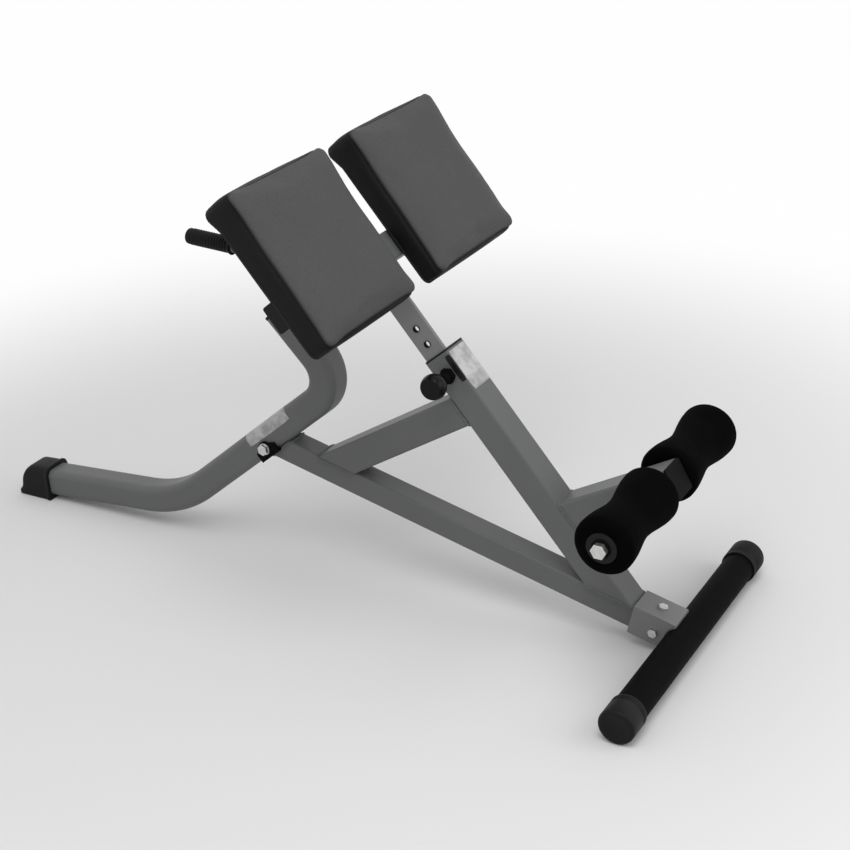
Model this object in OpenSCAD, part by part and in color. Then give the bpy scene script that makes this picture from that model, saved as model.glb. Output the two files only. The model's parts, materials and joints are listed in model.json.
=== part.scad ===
// Roman chair: a free-standing hyperextension bench.
// A sloping upright on a base tube carries two thigh pads on a height-adjusting flat post with a
// spring pull pin, two foam ankle rollers on an arm, an S-shaped front leg and a rear crossbar.
// Frame: +X runs from the front foot to the rear crossbar, +Z is up, the side plane is y = 0,
// and the origin is on the floor at the middle of the bounding box. Left is the -Y side.

/* [Stance] */
// Length over the front foot and the rear crossbar caps
overall_length = 1338; // [1150:1:1610]
// Length of the rear crossbar over its end caps
crossbar_length = 518; // [420:1:630]
// Outer diameter of the crossbar tube
crossbar_d = 50; // [40:1:60]
// Wall of the rubber end caps on the crossbar
crossbar_cap_wall = 3; // [2:0.5:5]
// Length of each crossbar end cap
crossbar_cap_length = 46; // [30:1:80]

/* [Base tube] */
// Outer side of the square base tube
base_w = 40; // [30:1:48]
// Rise of the base tube towards the front
base_deg = 14.4; // [8:0.1:20]
// Distance from the crossbar axis to the front leg's axis along the base tube
base_length = 760; // [600:1:920]

/* [Front leg] */
// Outer side of the rounded square leg tube
leg_w = 50; // [42:1:60]
// Outer corner radius of the leg tube
leg_corner = 12; // [6:1:15]
// Slope of the leg's foot run
leg_foot_deg = 3.8; // [0:0.1:6]
// Slope of the leg's rising run
leg_rise_deg = 38.8; // [30:0.1:46]
// Length of the rising run above the base tube's axis, to the upper corner
leg_rise_length = 195; // [150:1:240]
// Slope of the leg's top run, which leans back over the foot
leg_top_deg = 48; // [40:0.5:56]
// Length of the top run from the upper corner to its end
leg_top_length = 150; // [115:1:190]
// Centre-line radius of the lower bend
leg_low_radius = 240; // [180:5:300]
// Centre-line radius of the upper bend
leg_top_radius = 56; // [45:1:70]

/* [Foot cap] */
// Length of the front foot cap
foot_length = 76; // [62:1:92]
// Solid toe of the foot cap ahead of the tube
foot_toe = 30; // [22:1:40]
// Wall of the foot cap
foot_wall = 5; // [3:0.5:7]

/* [Upright and strut] */
// Outer side of the square upright, strut and roller arm tubes
main_w = 50; // [42:1:60]
// Wall of all the steel tubes
tube_wall = 2.5; // [1.5:0.5:3.5]
// Slope of the upright and the pads above the floor
slope_deg = 51.5; // [44:0.5:58]
// Length of the upright from its rim to the base tube's axis
upright_length = 476; // [400:1:560]
// Distance of the upright's foot ahead of the crossbar axis
upright_foot_x = 96; // [80:1:130]
// Distance of the strut's axis below the rim, along the upright
strut_drop = 91; // [75:1:120]
// Slope of the strut
strut_deg = 30.5; // [24:0.5:36]

/* [Ankle rollers] */
// Distance of the roller axle below the rim, along the upright
axle_drop = 336; // [280:1:400]
// Height of the roller axle above the upright's axis, square to it
axle_rise = 178; // [140:1:214]
// Slope of the roller arm
arm_deg = 28; // [20:0.5:36]
// Reach of the roller arm past the axle, with its cap
arm_reach = 34; // [28:1:45]
// Diameter of the axle rod
axle_d = 16; // [12:1:20]
// Outer diameter of the foam rollers near their ends
roller_d = 90; // [75:1:108]
// Outer diameter of the foam rollers at their waist
roller_waist_d = 72; // [60:1:86]
// Length of one foam roller
roller_length = 170; // [140:1:204]
// Outer diameter of the sleeve inside the foam
roller_sleeve_d = 28; // [24:1:34]
// Rounding of the foam roller's ends
roller_round = 10; // [6:1:16]

/* [Pads] */
// Width of one pad
pad_width = 245; // [200:1:294]
// Length of one pad along the slope
pad_length = 260; // [218:1:315]
// Gap between the two pads
pad_gap = 63; // [56:1:76]
// Distance from the rim up to the pads' lower edge
pad_drop = 94; // [86:1:120]
// Height of the pads' underside above the upright's axis
pad_base_n = 20; // [17:1:26]
// Thickness at the lower end of a pad
pad_low = 46; // [38:1:55]
// Thickness at the middle of a pad
pad_mid = 50; // [42:1:58]
// Thickness near the upper end of a pad
pad_high = 56; // [48:1:66]
// Depth of the roll under a pad's upper end
pad_roll = 10; // [4:1:14]
// Corner radius of a pad in plan
pad_corner = 16; // [12:1:24]
// Thickness of the plywood board in a pad
board_t = 12; // [9:1:15]

/* [Height adjustment] */
// Thickness of the flat steel post
post_t = 6; // [5:0.5:8]
// Spacing of the adjusting holes, equal to one step of height
hole_pitch = 28; // [22:1:32]
// Steps of adjustment each way from the middle setting
hole_steps = 3; // [2:1:3]
// Distance of the pull pin below the rim
pin_drop = 32; // [28:1:40]
// Diameter of the pull pin
pin_d = 10; // [8:0.5:12]
// Travel of the pull pin between drawn out, as modelled, and pushed home
pin_travel = 9; // [8:0.5:11]
// Diameter of the pull pin's knob
knob_d = 40; // [32:1:48]

/* [Pad carrier and handles] */
// Outer side of the square cross tube under the pads
cross_w = 45; // [38:1:50]
// Distance from the rim up to the cross tube's axis
cross_drop = 178; // [165:1:200]
// Length of the cross tube over its end caps
cross_length = 486; // [410:1:560]
// Outer diameter of the handle tubes
handle_d = 19; // [16:1:24]
// Wall of the rubber hand grips
grip_wall = 2; // [1.5:0.5:4]
// Length of the straight part of a handle, which the grip covers
handle_reach = 75; // [62:1:100]
// Centre-line radius of a handle's bend
handle_radius = 38; // [32:1:50]
// Length of a handle from the cross tube to its bend corner
handle_rise = 84; // [72:1:105]

/* [Hidden] */

$fn = 64;
$swell = 0;
bend_swell = 0.05;        // a bent length is this much thicker on each face
bend_lap = 0.5;           // and laps the straight lengths by this much
left = -1;
right = 1;
far_cut = 400;            // reach of a cutting block past what it trims
fit = 0.1;                // radial or face clearance of pieces that fit together
slide_gap = 0.2;          // clearance of the post's faces in the bushing and the upright
post_play = 1;            // clearance of the post's edges in the upright
post_edge = 1.5;          // rounding of the post's edges
main_corner = 5;          // outer corner radius of the upright, strut and arm
small_corner = 4;         // outer corner radius of the base and cross tubes
steel_grey = "dimgray";
cap_plug = 14;            // depth of the end caps' plugs in their tubes
leg_cap_t = 5;
leg_cap_lip = 1;
bushing_depth = 18;
bushing_lip = 3;
cap_chamfer = 4;
black = [0.08, 0.08, 0.08];
zinc = "silver";

// Crossbar and the overall placing
crossbar_r = crossbar_d / 2;
cap_r = crossbar_r + crossbar_cap_wall;
crossbar_z = cap_r;
crossbar_x = overall_length / 2 - cap_r;
front_x = -overall_length - crossbar_x + overall_length / 2;

// Points of the side plane, with x counted from the crossbar's axis
upright_foot_z = crossbar_z + upright_foot_x * tan(base_deg);
rim_x = -upright_foot_x - upright_length * cos(slope_deg);
rim_z = upright_foot_z + upright_length * sin(slope_deg);
joint_x = -base_length * cos(base_deg);
joint_z = crossbar_z + base_length * sin(base_deg);

// Front leg: the foot line and the rising line cross at the lower corner
foot_end_x = front_x + foot_toe;
foot_end_z = leg_w / 2 + foot_wall - 1;
low_turn = leg_rise_deg - leg_foot_deg;
top_turn = 180 - leg_top_deg - leg_rise_deg;
low_tangent = leg_low_radius * tan(low_turn / 2);
top_tangent = leg_top_radius * tan(top_turn / 2);
toe_edge = 9;             // height of the toe's front edge
toe_round = 5;            // chamfer between the toe's slope and the top
leg_dx = joint_x - foot_end_x;
leg_dz = joint_z - foot_end_z;
foot_run = (leg_dx * sin(leg_rise_deg) - leg_dz * cos(leg_rise_deg)) / sin(low_turn);
rise_run = (leg_dz * cos(leg_foot_deg) - leg_dx * sin(leg_foot_deg)) / sin(low_turn) + leg_rise_length;

// Leg bracket and its bolt, in the leg's own frame at the joint
ear_t = 4;
ear_w = 46;
m10_r = 5;
m8_r = 4;
bolt_play = 0.2;
hole_play = 0.4;          // clearance of the pull pin in the post's holes
washer_t = 2;
ear_seat = 13;            // height of the ears' straight part, and of the bolt, over the leg's lower face
ear_tip_r = 12;
ear_bolt_n = ear_seat - leg_w / 2;
ear_tip_w = 22;
ear_neck = 5;             // where the ears' slopes end, above the bolt
bolt_tail = 8;            // bolt length past its seat: the nut and a few turns

// Strut: from the upright's axis down to the base tube's axis
strut_x = rim_x + strut_drop * cos(slope_deg);
strut_z = rim_z - strut_drop * sin(slope_deg);
strut_run = (strut_z - crossbar_z + strut_x * tan(base_deg))
    / (sin(strut_deg) + cos(strut_deg) * tan(base_deg));

// Roller arm and axle
axle_x = rim_x + axle_drop * cos(slope_deg) + axle_rise * sin(slope_deg);
axle_z = rim_z - axle_drop * sin(slope_deg) + axle_rise * cos(slope_deg);
arm_run = axle_rise / sin(slope_deg + arm_deg);
arm_cap_t = 4;
roller_start = main_w / 2 + 0.5;
foam_start = roller_start + 2.5;
flange_t = 3;
roller_end = foam_start + roller_length + flange_t;
end_play = 0.3;
axle_nut_t = 9;
nut_crown = 1;            // closed end of the axle's cap nuts
flange_reach = 9;
sleeve_fit = 0.08;
axle_end = roller_end + end_play + washer_t + axle_nut_t - nut_crown;

// Rear bracket, in the base tube's frame
bracket_wall = 5;
weld_turn = slope_deg - base_deg;
weld_front = (main_w / 2 - base_w / 2 * cos(weld_turn)) / sin(weld_turn);
bracket_front = upright_foot_x / cos(base_deg) - weld_front - 1;
bracket_rear = 14;
base_end = crossbar_r + 5;
bracket_face = base_w / 2 + fit + bracket_wall;
top_bolt_x = -46;
top_bolt_length = bracket_face - base_w / 2 + tube_wall + 1.6 * m8_r + 4;
side_bolt_x = -44;
side_bolt_z = -4;

// Sliding post: it lies against the left inner wall of the upright
post_y = -main_w / 2 + tube_wall + slide_gap + post_t / 2;
post_w = main_w - 2 * tube_wall - 2 * post_play;
post_tail = pin_drop + hole_steps * hole_pitch + 22;
plate_t = 4;
cross_n = pad_base_n - plate_t - cross_w / 2;

// Pull pin
pin_r = pin_d / 2;
housing_r = pin_r + 5;
chamber_r = pin_r + 2.6;
collar_t = 3;
housing_wall = 2.5;
spring_wire = 1.4;
spring_room = 5;
chamber_length = collar_t + pin_travel + spring_room + 4 * fit;
housing_length = housing_wall + chamber_length + housing_wall;
pin_rest_gap = 0.3;
knob_t = 24;
housing_hex_t = 8;
knob_socket = 8;          // depth of the plunger's end in the knob
knob_fit = 0.02;
knob_rest = pin_travel + 0.4;

// Pads, in the slope frame: the lower edge is nearest the rim
pad_low_t = -pad_drop;
pad_high_t = -pad_drop - pad_length;
pad_mid_y = (pad_gap + pad_width) / 2;
board_inset = 7;
pad_plate_length = 150;
pad_plate_w = 40;
pad_bolt_pitch = 120;
pad_plate_t0 = -cross_drop;

// Handles
cross_cap_t = 3;
handle_side = 7;
handle_wall = 2;
grip_round = 3;
handle_y = cross_length / 2 - cross_cap_t - handle_side - handle_d / 2;
handle_level = 4;
forward_turn = slope_deg - handle_level;
forward_tangent = handle_radius * tan(forward_turn / 2);

// ---------- Frames of reference ----------

// Side-plane frame with x counted from the crossbar's axis
module placed() translate([crossbar_x, 0, 0]) children();

// Slope frame: origin at the middle of the upright's rim, +X down the slope, +Z out to the pads
module slope_frame() translate([rim_x, 0, rim_z]) rotate([0, slope_deg, 0]) children();

// Base frame: origin on the crossbar's axis, -X up along the base tube
module base_frame() translate([0, 0, crossbar_z]) rotate([0, base_deg, 0]) children();

// Leg frame: origin where the base tube's axis meets the leg's axis, +X up along the leg
module leg_frame() translate([joint_x, 0, joint_z]) rotate([0, -leg_rise_deg, 0]) children();

// Arm frame: origin on the roller axle, +X along the arm away from the upright
module arm_frame() translate([axle_x, 0, axle_z]) rotate([0, -arm_deg, 0]) children();

// Turns a shape drawn along +Z to lie along +Y
module along_y() rotate([-90, 0, 0]) children();

// ---------- Shapes that repeat ----------

module rounded_rect(w, h, r) {
    square([w - 2 * r, h], center = true);
    square([w, h - 2 * r], center = true);
    for (sx = [-1, 1], sy = [-1, 1])
        translate([sx * (w / 2 - r), sy * (h / 2 - r)]) circle(r = r);
}

// Straight length from x0 to x1; the child is its section
module run(x0, x1) translate([x0, 0, 0]) rotate([90, 0, 90]) linear_extrude(x1 - x0) children();

// Bar of a rounded rectangular section from x0 to x1
module bar(x0, x1, w, h, r) run(x0, x1) rounded_rect(w, h, r);

// Section of a square tube, thicker by $swell on its outer and inner faces
module tube_section(w, r) {
    outer = w + 2 * $swell;
    inner = w - 2 * tube_wall - 2 * $swell;
    difference() {
        rounded_rect(outer, outer, r + $swell);
        rounded_rect(inner, inner, r - tube_wall - $swell);
    }
}

// Square tube from x0 to x1
module square_tube(x0, x1, w, r) run(x0, x1) tube_section(w, r);

// Box given by its two ends on each axis
module block(x0, x1, y0, y1, z0, z1) {
    translate([x0, y0, z0]) cube([x1 - x0, y1 - y0, z1 - z0]);
}

// Upward bend that starts along +X at the origin; the child is its section
module bend(radius, turn) {
    $swell = bend_swell;
    translate([0, 0, radius]) rotate([90, 0, 0]) rotate([0, 0, -90])
        rotate_extrude(angle = turn, $fn = 96) translate([radius, 0]) children();
}

// Carries on from the end of a bend
module after_bend(radius, turn) {
    translate([radius * sin(turn), 0, radius * (1 - cos(turn))]) rotate([0, -turn, 0]) children();
}

// Hexagon bolt along +Z: the head's seat is at 0 and the shank runs to -length
module hex_bolt(r, length) {
    cylinder(r = 1.9 * r, h = 1.3 * r, $fn = 6);
    translate([0, 0, -length]) cylinder(r = r, h = length + r);
}

module hex_nut(r) {
    difference() {
        cylinder(r = 1.9 * r, h = 1.6 * r, $fn = 6);
        translate([0, 0, -1]) cylinder(r = r + 0.05, h = 1.6 * r + 2);
    }
}

module washer(r, outer) {
    difference() {
        cylinder(r = outer, h = washer_t);
        translate([0, 0, -1]) cylinder(r = r + 0.05, h = washer_t + 2);
    }
}

// Everything below the top face of the base tube
module below_base() {
    base_frame() block(-base_length - far_cut, far_cut, -far_cut, far_cut, -far_cut, base_w / 2);
}

// The upright's section as a solid block, wide enough to trim what meets it
module upright_block() {
    slope_frame() block(-far_cut, upright_length + far_cut, -far_cut, far_cut, -main_w / 2, main_w / 2);
}

// ---------- Front leg ----------

// The whole leg from its foot to its free top end; the child is its section
module leg_run() {
    translate([foot_end_x, 0, foot_end_z]) rotate([0, -leg_foot_deg, 0]) {
        run(0, foot_run - low_tangent + bend_lap) children();
        translate([foot_run - low_tangent, 0, 0]) {
            bend(leg_low_radius, low_turn) children();
            after_bend(leg_low_radius, low_turn) {
                run(-bend_lap, rise_run - low_tangent - top_tangent + bend_lap) children();
                translate([rise_run - low_tangent - top_tangent, 0, 0]) {
                    bend(leg_top_radius, top_turn) children();
                    after_bend(leg_top_radius, top_turn)
                        run(-bend_lap, leg_top_length - top_tangent) children();
                }
            }
        }
    }
}

module leg_bolt_hole() {
    leg_frame() translate([0, 0, ear_bolt_n]) along_y()
        cylinder(r = m10_r + bolt_play, h = 2 * leg_w, center = true);
}

module front_leg_tube() {
    color(steel_grey) difference() {
        leg_run() tube_section(leg_w, leg_corner);
        leg_bolt_hole();
    }
}

module front_foot_cap() {
    half = leg_w / 2 + foot_wall;
    top_z = foot_end_z + half;
    color(black) difference() {
        translate([0, half, 0]) rotate([90, 0, 0]) linear_extrude(2 * half)
            polygon([
                [front_x, 0], [front_x, toe_edge], [front_x + foot_toe - toe_round, top_z - toe_round],
                [front_x + foot_toe, top_z],
                [front_x + foot_length, top_z + (foot_length - foot_toe) * tan(leg_foot_deg)],
                [front_x + foot_length, 0]
            ]);
        translate([foot_end_x, 0, foot_end_z]) rotate([0, -leg_foot_deg, 0])
            bar(0, foot_length, leg_w + 2 * fit, leg_w + 2 * fit, leg_corner);
    }
}

// Moves from the joint to the open end of the leg's top run, which then runs along +X
module leg_top_end() {
    leg_frame() translate([leg_rise_length - top_tangent, 0, 0])
        after_bend(leg_top_radius, top_turn) translate([leg_top_length - top_tangent, 0, 0]) children();
}

module leg_top_cap() {
    inner = leg_w - 2 * tube_wall - 2 * fit;
    color(black) leg_top_end() {
        bar(-cap_plug, 0, inner, inner, leg_corner - tube_wall);
        bar(0, leg_cap_t, leg_w + 2 * leg_cap_lip, leg_w + 2 * leg_cap_lip, leg_corner + leg_cap_lip);
    }
}

module leg_bracket() {
    inner = leg_w / 2 + fit;
    color(black) leg_frame() difference() {
        union() {
            for (side = [left, right])
                translate([0, side * (inner + ear_t / 2), 0]) rotate([90, 0, 0])
                    linear_extrude(ear_t, center = true) {
                        translate([-ear_w / 2, -inner - ear_t]) square([ear_w, ear_t + ear_seat]);
                        translate([0, ear_bolt_n]) circle(r = ear_tip_r);
                        polygon([[-ear_w / 2, -inner + ear_seat], [ear_w / 2, -inner + ear_seat],
                            [ear_tip_w / 2, ear_bolt_n + ear_neck], [-ear_tip_w / 2, ear_bolt_n + ear_neck]]);
                    }
            block(-ear_w / 2, ear_w / 2, -inner - ear_t / 2, inner + ear_t / 2, -inner - ear_t, -inner);
        }
        translate([0, 0, ear_bolt_n]) along_y()
            cylinder(r = m10_r + bolt_play, h = 3 * leg_w, center = true);
    }
}

leg_seat = leg_w / 2 + fit + ear_t;

module leg_bolt() {
    color(zinc) leg_frame() translate([0, -leg_seat - washer_t, ear_bolt_n]) rotate([90, 0, 0])
        hex_bolt(m10_r, 2 * leg_seat + 2 * washer_t + m10_r + bolt_tail);
}

module leg_washers() {
    color(zinc) leg_frame() {
        translate([0, -leg_seat - washer_t, ear_bolt_n]) along_y() washer(m10_r, 2 * m10_r);
        translate([0, leg_seat, ear_bolt_n]) along_y() washer(m10_r, 2 * m10_r);
    }
}

module leg_nut() {
    color(zinc) leg_frame() translate([0, leg_seat + washer_t, ear_bolt_n]) along_y() hex_nut(m10_r);
}

// ---------- Base, strut and upright ----------

module rear_bolt_holes() {
    base_frame() {
        translate([top_bolt_x, 0, 0]) cylinder(r = m8_r + bolt_play, h = 2 * base_w);
        translate([side_bolt_x, 0, side_bolt_z]) along_y()
            cylinder(r = m8_r + bolt_play, h = 3 * base_w, center = true);
    }
}

module base_tube() {
    inner = leg_w / 2 + fit;
    color(steel_grey) difference() {
        base_frame() square_tube(-base_length, -base_end, base_w, small_corner);
        leg_frame() {
            block(-far_cut, far_cut, -far_cut, far_cut, -leg_w / 2, far_cut);
            block(-ear_w / 2, ear_w / 2, -far_cut, far_cut, -inner - ear_t, 0);
        }
        rear_bolt_holes();
    }
}

module strut_tube() {
    color(steel_grey) difference() {
        translate([strut_x, 0, strut_z]) rotate([0, -strut_deg, 0])
            square_tube(-strut_run - main_w, 0, main_w, main_corner);
        below_base();
        upright_block();
    }
}

module upright_tube() {
    color(steel_grey) difference() {
        slope_frame() square_tube(0, upright_length + main_w, main_w, main_corner);
        below_base();
        slope_frame() translate([pin_drop, -main_w / 2, 0]) along_y()
            cylinder(r = pin_r + fit, h = 4 * tube_wall, center = true);
    }
}

module upright_bushing() {
    inner = main_w - 2 * tube_wall - 2 * fit;
    slot_w = post_w + 2 * slide_gap;
    color(black) slope_frame() difference() {
        union() {
            bar(0, bushing_depth, inner, inner, main_corner - tube_wall);
            bar(-bushing_lip, 0, main_w, main_w, main_corner);
        }
        block(-far_cut, far_cut, -main_w / 2 + tube_wall, post_y + post_t / 2 + slide_gap,
            -slot_w / 2, slot_w / 2);
    }
}

// ---------- Rear crossbar ----------

module rear_bracket() {
    half = bracket_face;
    color("darkgray") difference() {
        base_frame() {
            difference() {
                block(-bracket_front, -bracket_rear, -half, half, -half, half);
                bar(-bracket_front - 1, -base_end + 0.5, base_w + 2 * fit, base_w + 2 * fit, small_corner);
                along_y() cylinder(r = crossbar_r + fit / 2, h = 4 * half, center = true);
            }
        }
        rear_bolt_holes();
    }
}

module rear_bolts() {
    color(zinc) base_frame() {
        translate([top_bolt_x, 0, bracket_face]) hex_bolt(m8_r, top_bolt_length);
        translate([side_bolt_x, -bracket_face, side_bolt_z]) rotate([90, 0, 0])
            hex_bolt(m8_r, 2 * bracket_face + bolt_tail);
    }
}

module rear_nuts() {
    color(zinc) base_frame() {
        translate([top_bolt_x, 0, base_w / 2 - tube_wall - 1.6 * m8_r]) hex_nut(m8_r);
        translate([side_bolt_x, bracket_face, side_bolt_z]) along_y() hex_nut(m8_r);
    }
}

module rear_crossbar() {
    inner = crossbar_length / 2 - crossbar_cap_wall;
    color(black) translate([0, 0, crossbar_z]) along_y() difference() {
        cylinder(r = crossbar_r, h = 2 * inner, center = true);
        cylinder(r = crossbar_r - tube_wall, h = 2 * inner + 2, center = true);
    }
}

// Rubber cup over one end of the crossbar
module crossbar_cap(side) {
    end = crossbar_length / 2;
    color([0.05, 0.05, 0.05]) translate([0, 0, crossbar_z]) rotate([-90 * side, 0, 0]) difference() {
        union() {
            translate([0, 0, end - crossbar_cap_length])
                cylinder(r = cap_r, h = crossbar_cap_length - cap_chamfer);
            translate([0, 0, end - cap_chamfer])
                cylinder(r1 = cap_r, r2 = cap_r - cap_chamfer, h = cap_chamfer);
        }
        translate([0, 0, end - crossbar_cap_length - 1])
            cylinder(r = crossbar_r + fit, h = crossbar_cap_length + 1 - crossbar_cap_wall + fit);
    }
}

// ---------- Roller arm ----------

module roller_arm() {
    color(steel_grey) difference() {
        arm_frame() square_tube(-arm_run, arm_reach - arm_cap_t, main_w, main_corner);
        upright_block();
        translate([axle_x, 0, axle_z]) along_y()
            cylinder(d = axle_d + 2 * fit, h = 2 * main_w, center = true);
    }
}

module arm_end_cap() {
    inner = main_w - 2 * tube_wall - 2 * fit;
    color(black) arm_frame() {
        bar(arm_reach - arm_cap_t - cap_plug, arm_reach - arm_cap_t, inner, inner, main_corner - tube_wall);
        bar(arm_reach - arm_cap_t, arm_reach, main_w, main_w, main_corner);
    }
}

module roller_axle() {
    color(zinc) translate([axle_x, 0, axle_z]) along_y()
        cylinder(d = axle_d, h = 2 * axle_end, center = true);
}

module axle_washers() {
    color(zinc) translate([axle_x, 0, axle_z])
        for (side = [left, right])
            rotate([-90 * side, 0, 0]) translate([0, 0, roller_end + end_play])
                washer(axle_d / 2, roller_sleeve_d / 2);
}

module axle_nuts() {
    color(zinc) translate([axle_x, 0, axle_z])
        for (side = [left, right])
            rotate([-90 * side, 0, 0]) translate([0, 0, roller_end + end_play + washer_t]) difference() {
                cylinder(r = 0.75 * axle_d, h = axle_nut_t, $fn = 6);
                translate([0, 0, -1]) cylinder(d = axle_d + fit, h = axle_nut_t + 1 - nut_crown / 2);
            }
}

module roller_sleeve(side) {
    color(black) translate([axle_x, 0, axle_z]) rotate([-90 * side, 0, 0]) difference() {
        union() {
            translate([0, 0, roller_start]) cylinder(d = roller_sleeve_d, h = roller_end - roller_start);
            translate([0, 0, roller_end - flange_t])
                cylinder(r = roller_sleeve_d / 2 + flange_reach, h = flange_t);
        }
        translate([0, 0, roller_start - 1])
            cylinder(r = axle_d / 2 + sleeve_fit, h = roller_end - roller_start + 2);
    }
}

// Outer radius of a foam roller at height z: full at both ends and slim at the waist
function roller_r(z) =
    roller_d / 2 - (roller_d - roller_waist_d) / 4
    * (1 - cos(360 * (z - roller_round) / (roller_length - 2 * roller_round)));

module foam_roller(side) {
    r = roller_round;
    inner = roller_sleeve_d / 2 + fit;
    core = roller_d / 2 - r;
    corner_steps = 6;
    waist_steps = 20;
    color([0.1, 0.1, 0.1]) translate([axle_x, 0, axle_z]) rotate([-90 * side, 0, 0])
        translate([0, 0, foam_start]) rotate_extrude() polygon([
            [inner, 0],
            for (i = [0 : corner_steps])
                let(a = 90 * i / corner_steps) [core + r * sin(a), r - r * cos(a)],
            for (i = [1 : waist_steps - 1])
                let(z = r + i / waist_steps * (roller_length - 2 * r)) [roller_r(z), z],
            for (i = [0 : corner_steps])
                let(a = 90 * i / corner_steps) [core + r * cos(a), roller_length - r + r * sin(a)],
            [inner, roller_length]
        ]);
}

// ---------- Pull pin ----------

// Pin frame: origin on the upright's left face at the pin, +Z out to the left
module pin_frame() {
    slope_frame() translate([pin_drop, -main_w / 2, 0]) rotate([90, 0, 0]) children();
}

module pin_housing() {
    color(zinc) pin_frame() difference() {
        union() {
            cylinder(r = housing_r, h = housing_length);
            cylinder(r = housing_r + 3, h = housing_hex_t, $fn = 6);
        }
        translate([0, 0, -1]) cylinder(r = pin_r + fit, h = housing_length + 2);
        translate([0, 0, housing_wall]) cylinder(r = chamber_r, h = chamber_length);
    }
}

module pin_spring() {
    bottom = housing_wall + fit + pin_travel + collar_t + fit;
    turns = 3;
    height = housing_wall + chamber_length - bottom - fit;
    color("gray") pin_frame() translate([0, 0, bottom])
        linear_extrude(height, twist = -360 * turns, slices = 20 * turns, $fn = 8)
            translate([pin_r + 0.3 + spring_wire / 2, 0]) circle(d = spring_wire);
}

module pin_plunger() {
    tail = tube_wall + slide_gap - pin_rest_gap;
    color(zinc) pin_frame() {
        translate([0, 0, -tail]) cylinder(r = pin_r, h = tail + housing_length + knob_rest + knob_socket);
        translate([0, 0, housing_wall + fit + pin_travel]) cylinder(r = chamber_r - fit, h = collar_t);
    }
}

module pin_knob() {
    r = knob_d / 2;
    color(black) pin_frame() translate([0, 0, housing_length + knob_rest]) difference() {
        intersection() {
            translate([0, 0, knob_t / 2 + 1]) sphere(r = r);
            cylinder(r = r + 1, h = knob_t);
        }
        translate([0, 0, -1]) cylinder(r = pin_r + knob_fit, h = knob_socket + 1 + 2 * fit);
    }
}

// ---------- Pad carrier ----------

module pad_post() {
    color(steel_grey) slope_frame() difference() {
        translate([0, post_y, 0]) bar(-cross_drop + cross_w / 2, post_tail, post_t, post_w, post_edge);
        for (step = [-hole_steps : hole_steps])
            translate([pin_drop + step * hole_pitch, post_y, 0]) along_y()
                cylinder(r = pin_r + hole_play, h = 2 * post_t, center = true);
    }
}

// Cross tube frame: origin at the tube's middle, +X out to the right
module cross_frame() {
    slope_frame() translate([-cross_drop, 0, cross_n]) rotate([0, 0, 90]) children();
}

module pad_cross_tube() {
    half = cross_length / 2 - cross_cap_t;
    color(steel_grey) cross_frame() square_tube(-half, half, cross_w, small_corner);
}

module cross_cap(side) {
    half = cross_length / 2;
    inner = cross_w - 2 * tube_wall - 2 * fit;
    color(black) cross_frame() mirror([side > 0 ? 0 : 1, 0, 0]) {
        bar(half - cross_cap_t - cap_plug, half - cross_cap_t, inner, inner, small_corner - tube_wall);
        bar(half - cross_cap_t, half, cross_w, cross_w, small_corner);
    }
}

module pad_bolt_places() {
    for (step = [-0.5, 0.5]) translate([pad_plate_t0 + step * pad_bolt_pitch, 0]) children();
}

module pad_plate(side) {
    half = pad_plate_length / 2;
    color(steel_grey) slope_frame() translate([0, side * pad_mid_y, pad_base_n - plate_t]) difference() {
        block(pad_plate_t0 - half, pad_plate_t0 + half, -pad_plate_w / 2, pad_plate_w / 2, 0, plate_t);
        pad_bolt_places() translate([0, 0, -1]) cylinder(r = m8_r + bolt_play, h = plate_t + 2);
    }
}

module pad_bolts(side) {
    color(zinc) slope_frame() translate([0, side * pad_mid_y, pad_base_n - plate_t])
        pad_bolt_places() rotate([180, 0, 0]) hex_bolt(m8_r, plate_t + board_t - 2);
}

module pad_board(side) {
    w = pad_width - 2 * board_inset;
    length = pad_length - 2 * board_inset;
    color("burlywood") slope_frame() translate([(pad_low_t + pad_high_t) / 2, side * pad_mid_y, pad_base_n])
        difference() {
            linear_extrude(board_t) rounded_rect(length, w, pad_corner - board_inset);
            translate([-(pad_low_t + pad_high_t) / 2, 0, 0]) pad_bolt_places()
                translate([0, 0, -1]) cylinder(r = m8_r + 0.05, h = board_t - 0.5);
        }
}

// Top outline of a pad: a low lower end, a nearly straight middle and a fuller upper end
function pad_top(s) =
    s < 0.5
    ? pad_mid + (pad_low - pad_mid) * (1 + cos(360 * s)) / 2
    : pad_mid + (pad_high - pad_mid) * (1 - cos(360 * (s - 0.5))) / 2;

module pad(side) {
    round_end = 16;
    roll_round = 8;
    roll_length = 48;
    steps = 16;
    w = pad_width - 2 * board_inset + 2 * fit;
    length = pad_length - 2 * board_inset + 2 * fit;
    color([0.2, 0.2, 0.2]) slope_frame() translate([0, side * pad_mid_y, pad_base_n]) difference() {
        intersection() {
            rotate([90, 0, 0]) linear_extrude(pad_width, center = true) polygon([
                [pad_low_t, 0], [pad_low_t, pad_low - round_end],
                for (i = [0 : steps])
                    let(s = i / steps * 0.88) [pad_low_t - round_end / 2 - s * pad_length, pad_top(s)],
                [pad_high_t, pad_high - 2 * round_end], [pad_high_t, roll_round - pad_roll],
                [pad_high_t + roll_round, -pad_roll], [pad_high_t + roll_length / 2, -pad_roll],
                [pad_high_t + roll_length, 0]
            ]);
            translate([(pad_low_t + pad_high_t) / 2, 0, -pad_roll - 1]) linear_extrude(2 * pad_high)
                rounded_rect(pad_length, pad_width, pad_corner);
        }
        translate([(pad_low_t + pad_high_t) / 2, 0, -fit]) linear_extrude(board_t + 2 * fit)
            rounded_rect(length, w, pad_corner - board_inset);
    }
}

// ---------- Handles ----------

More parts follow.
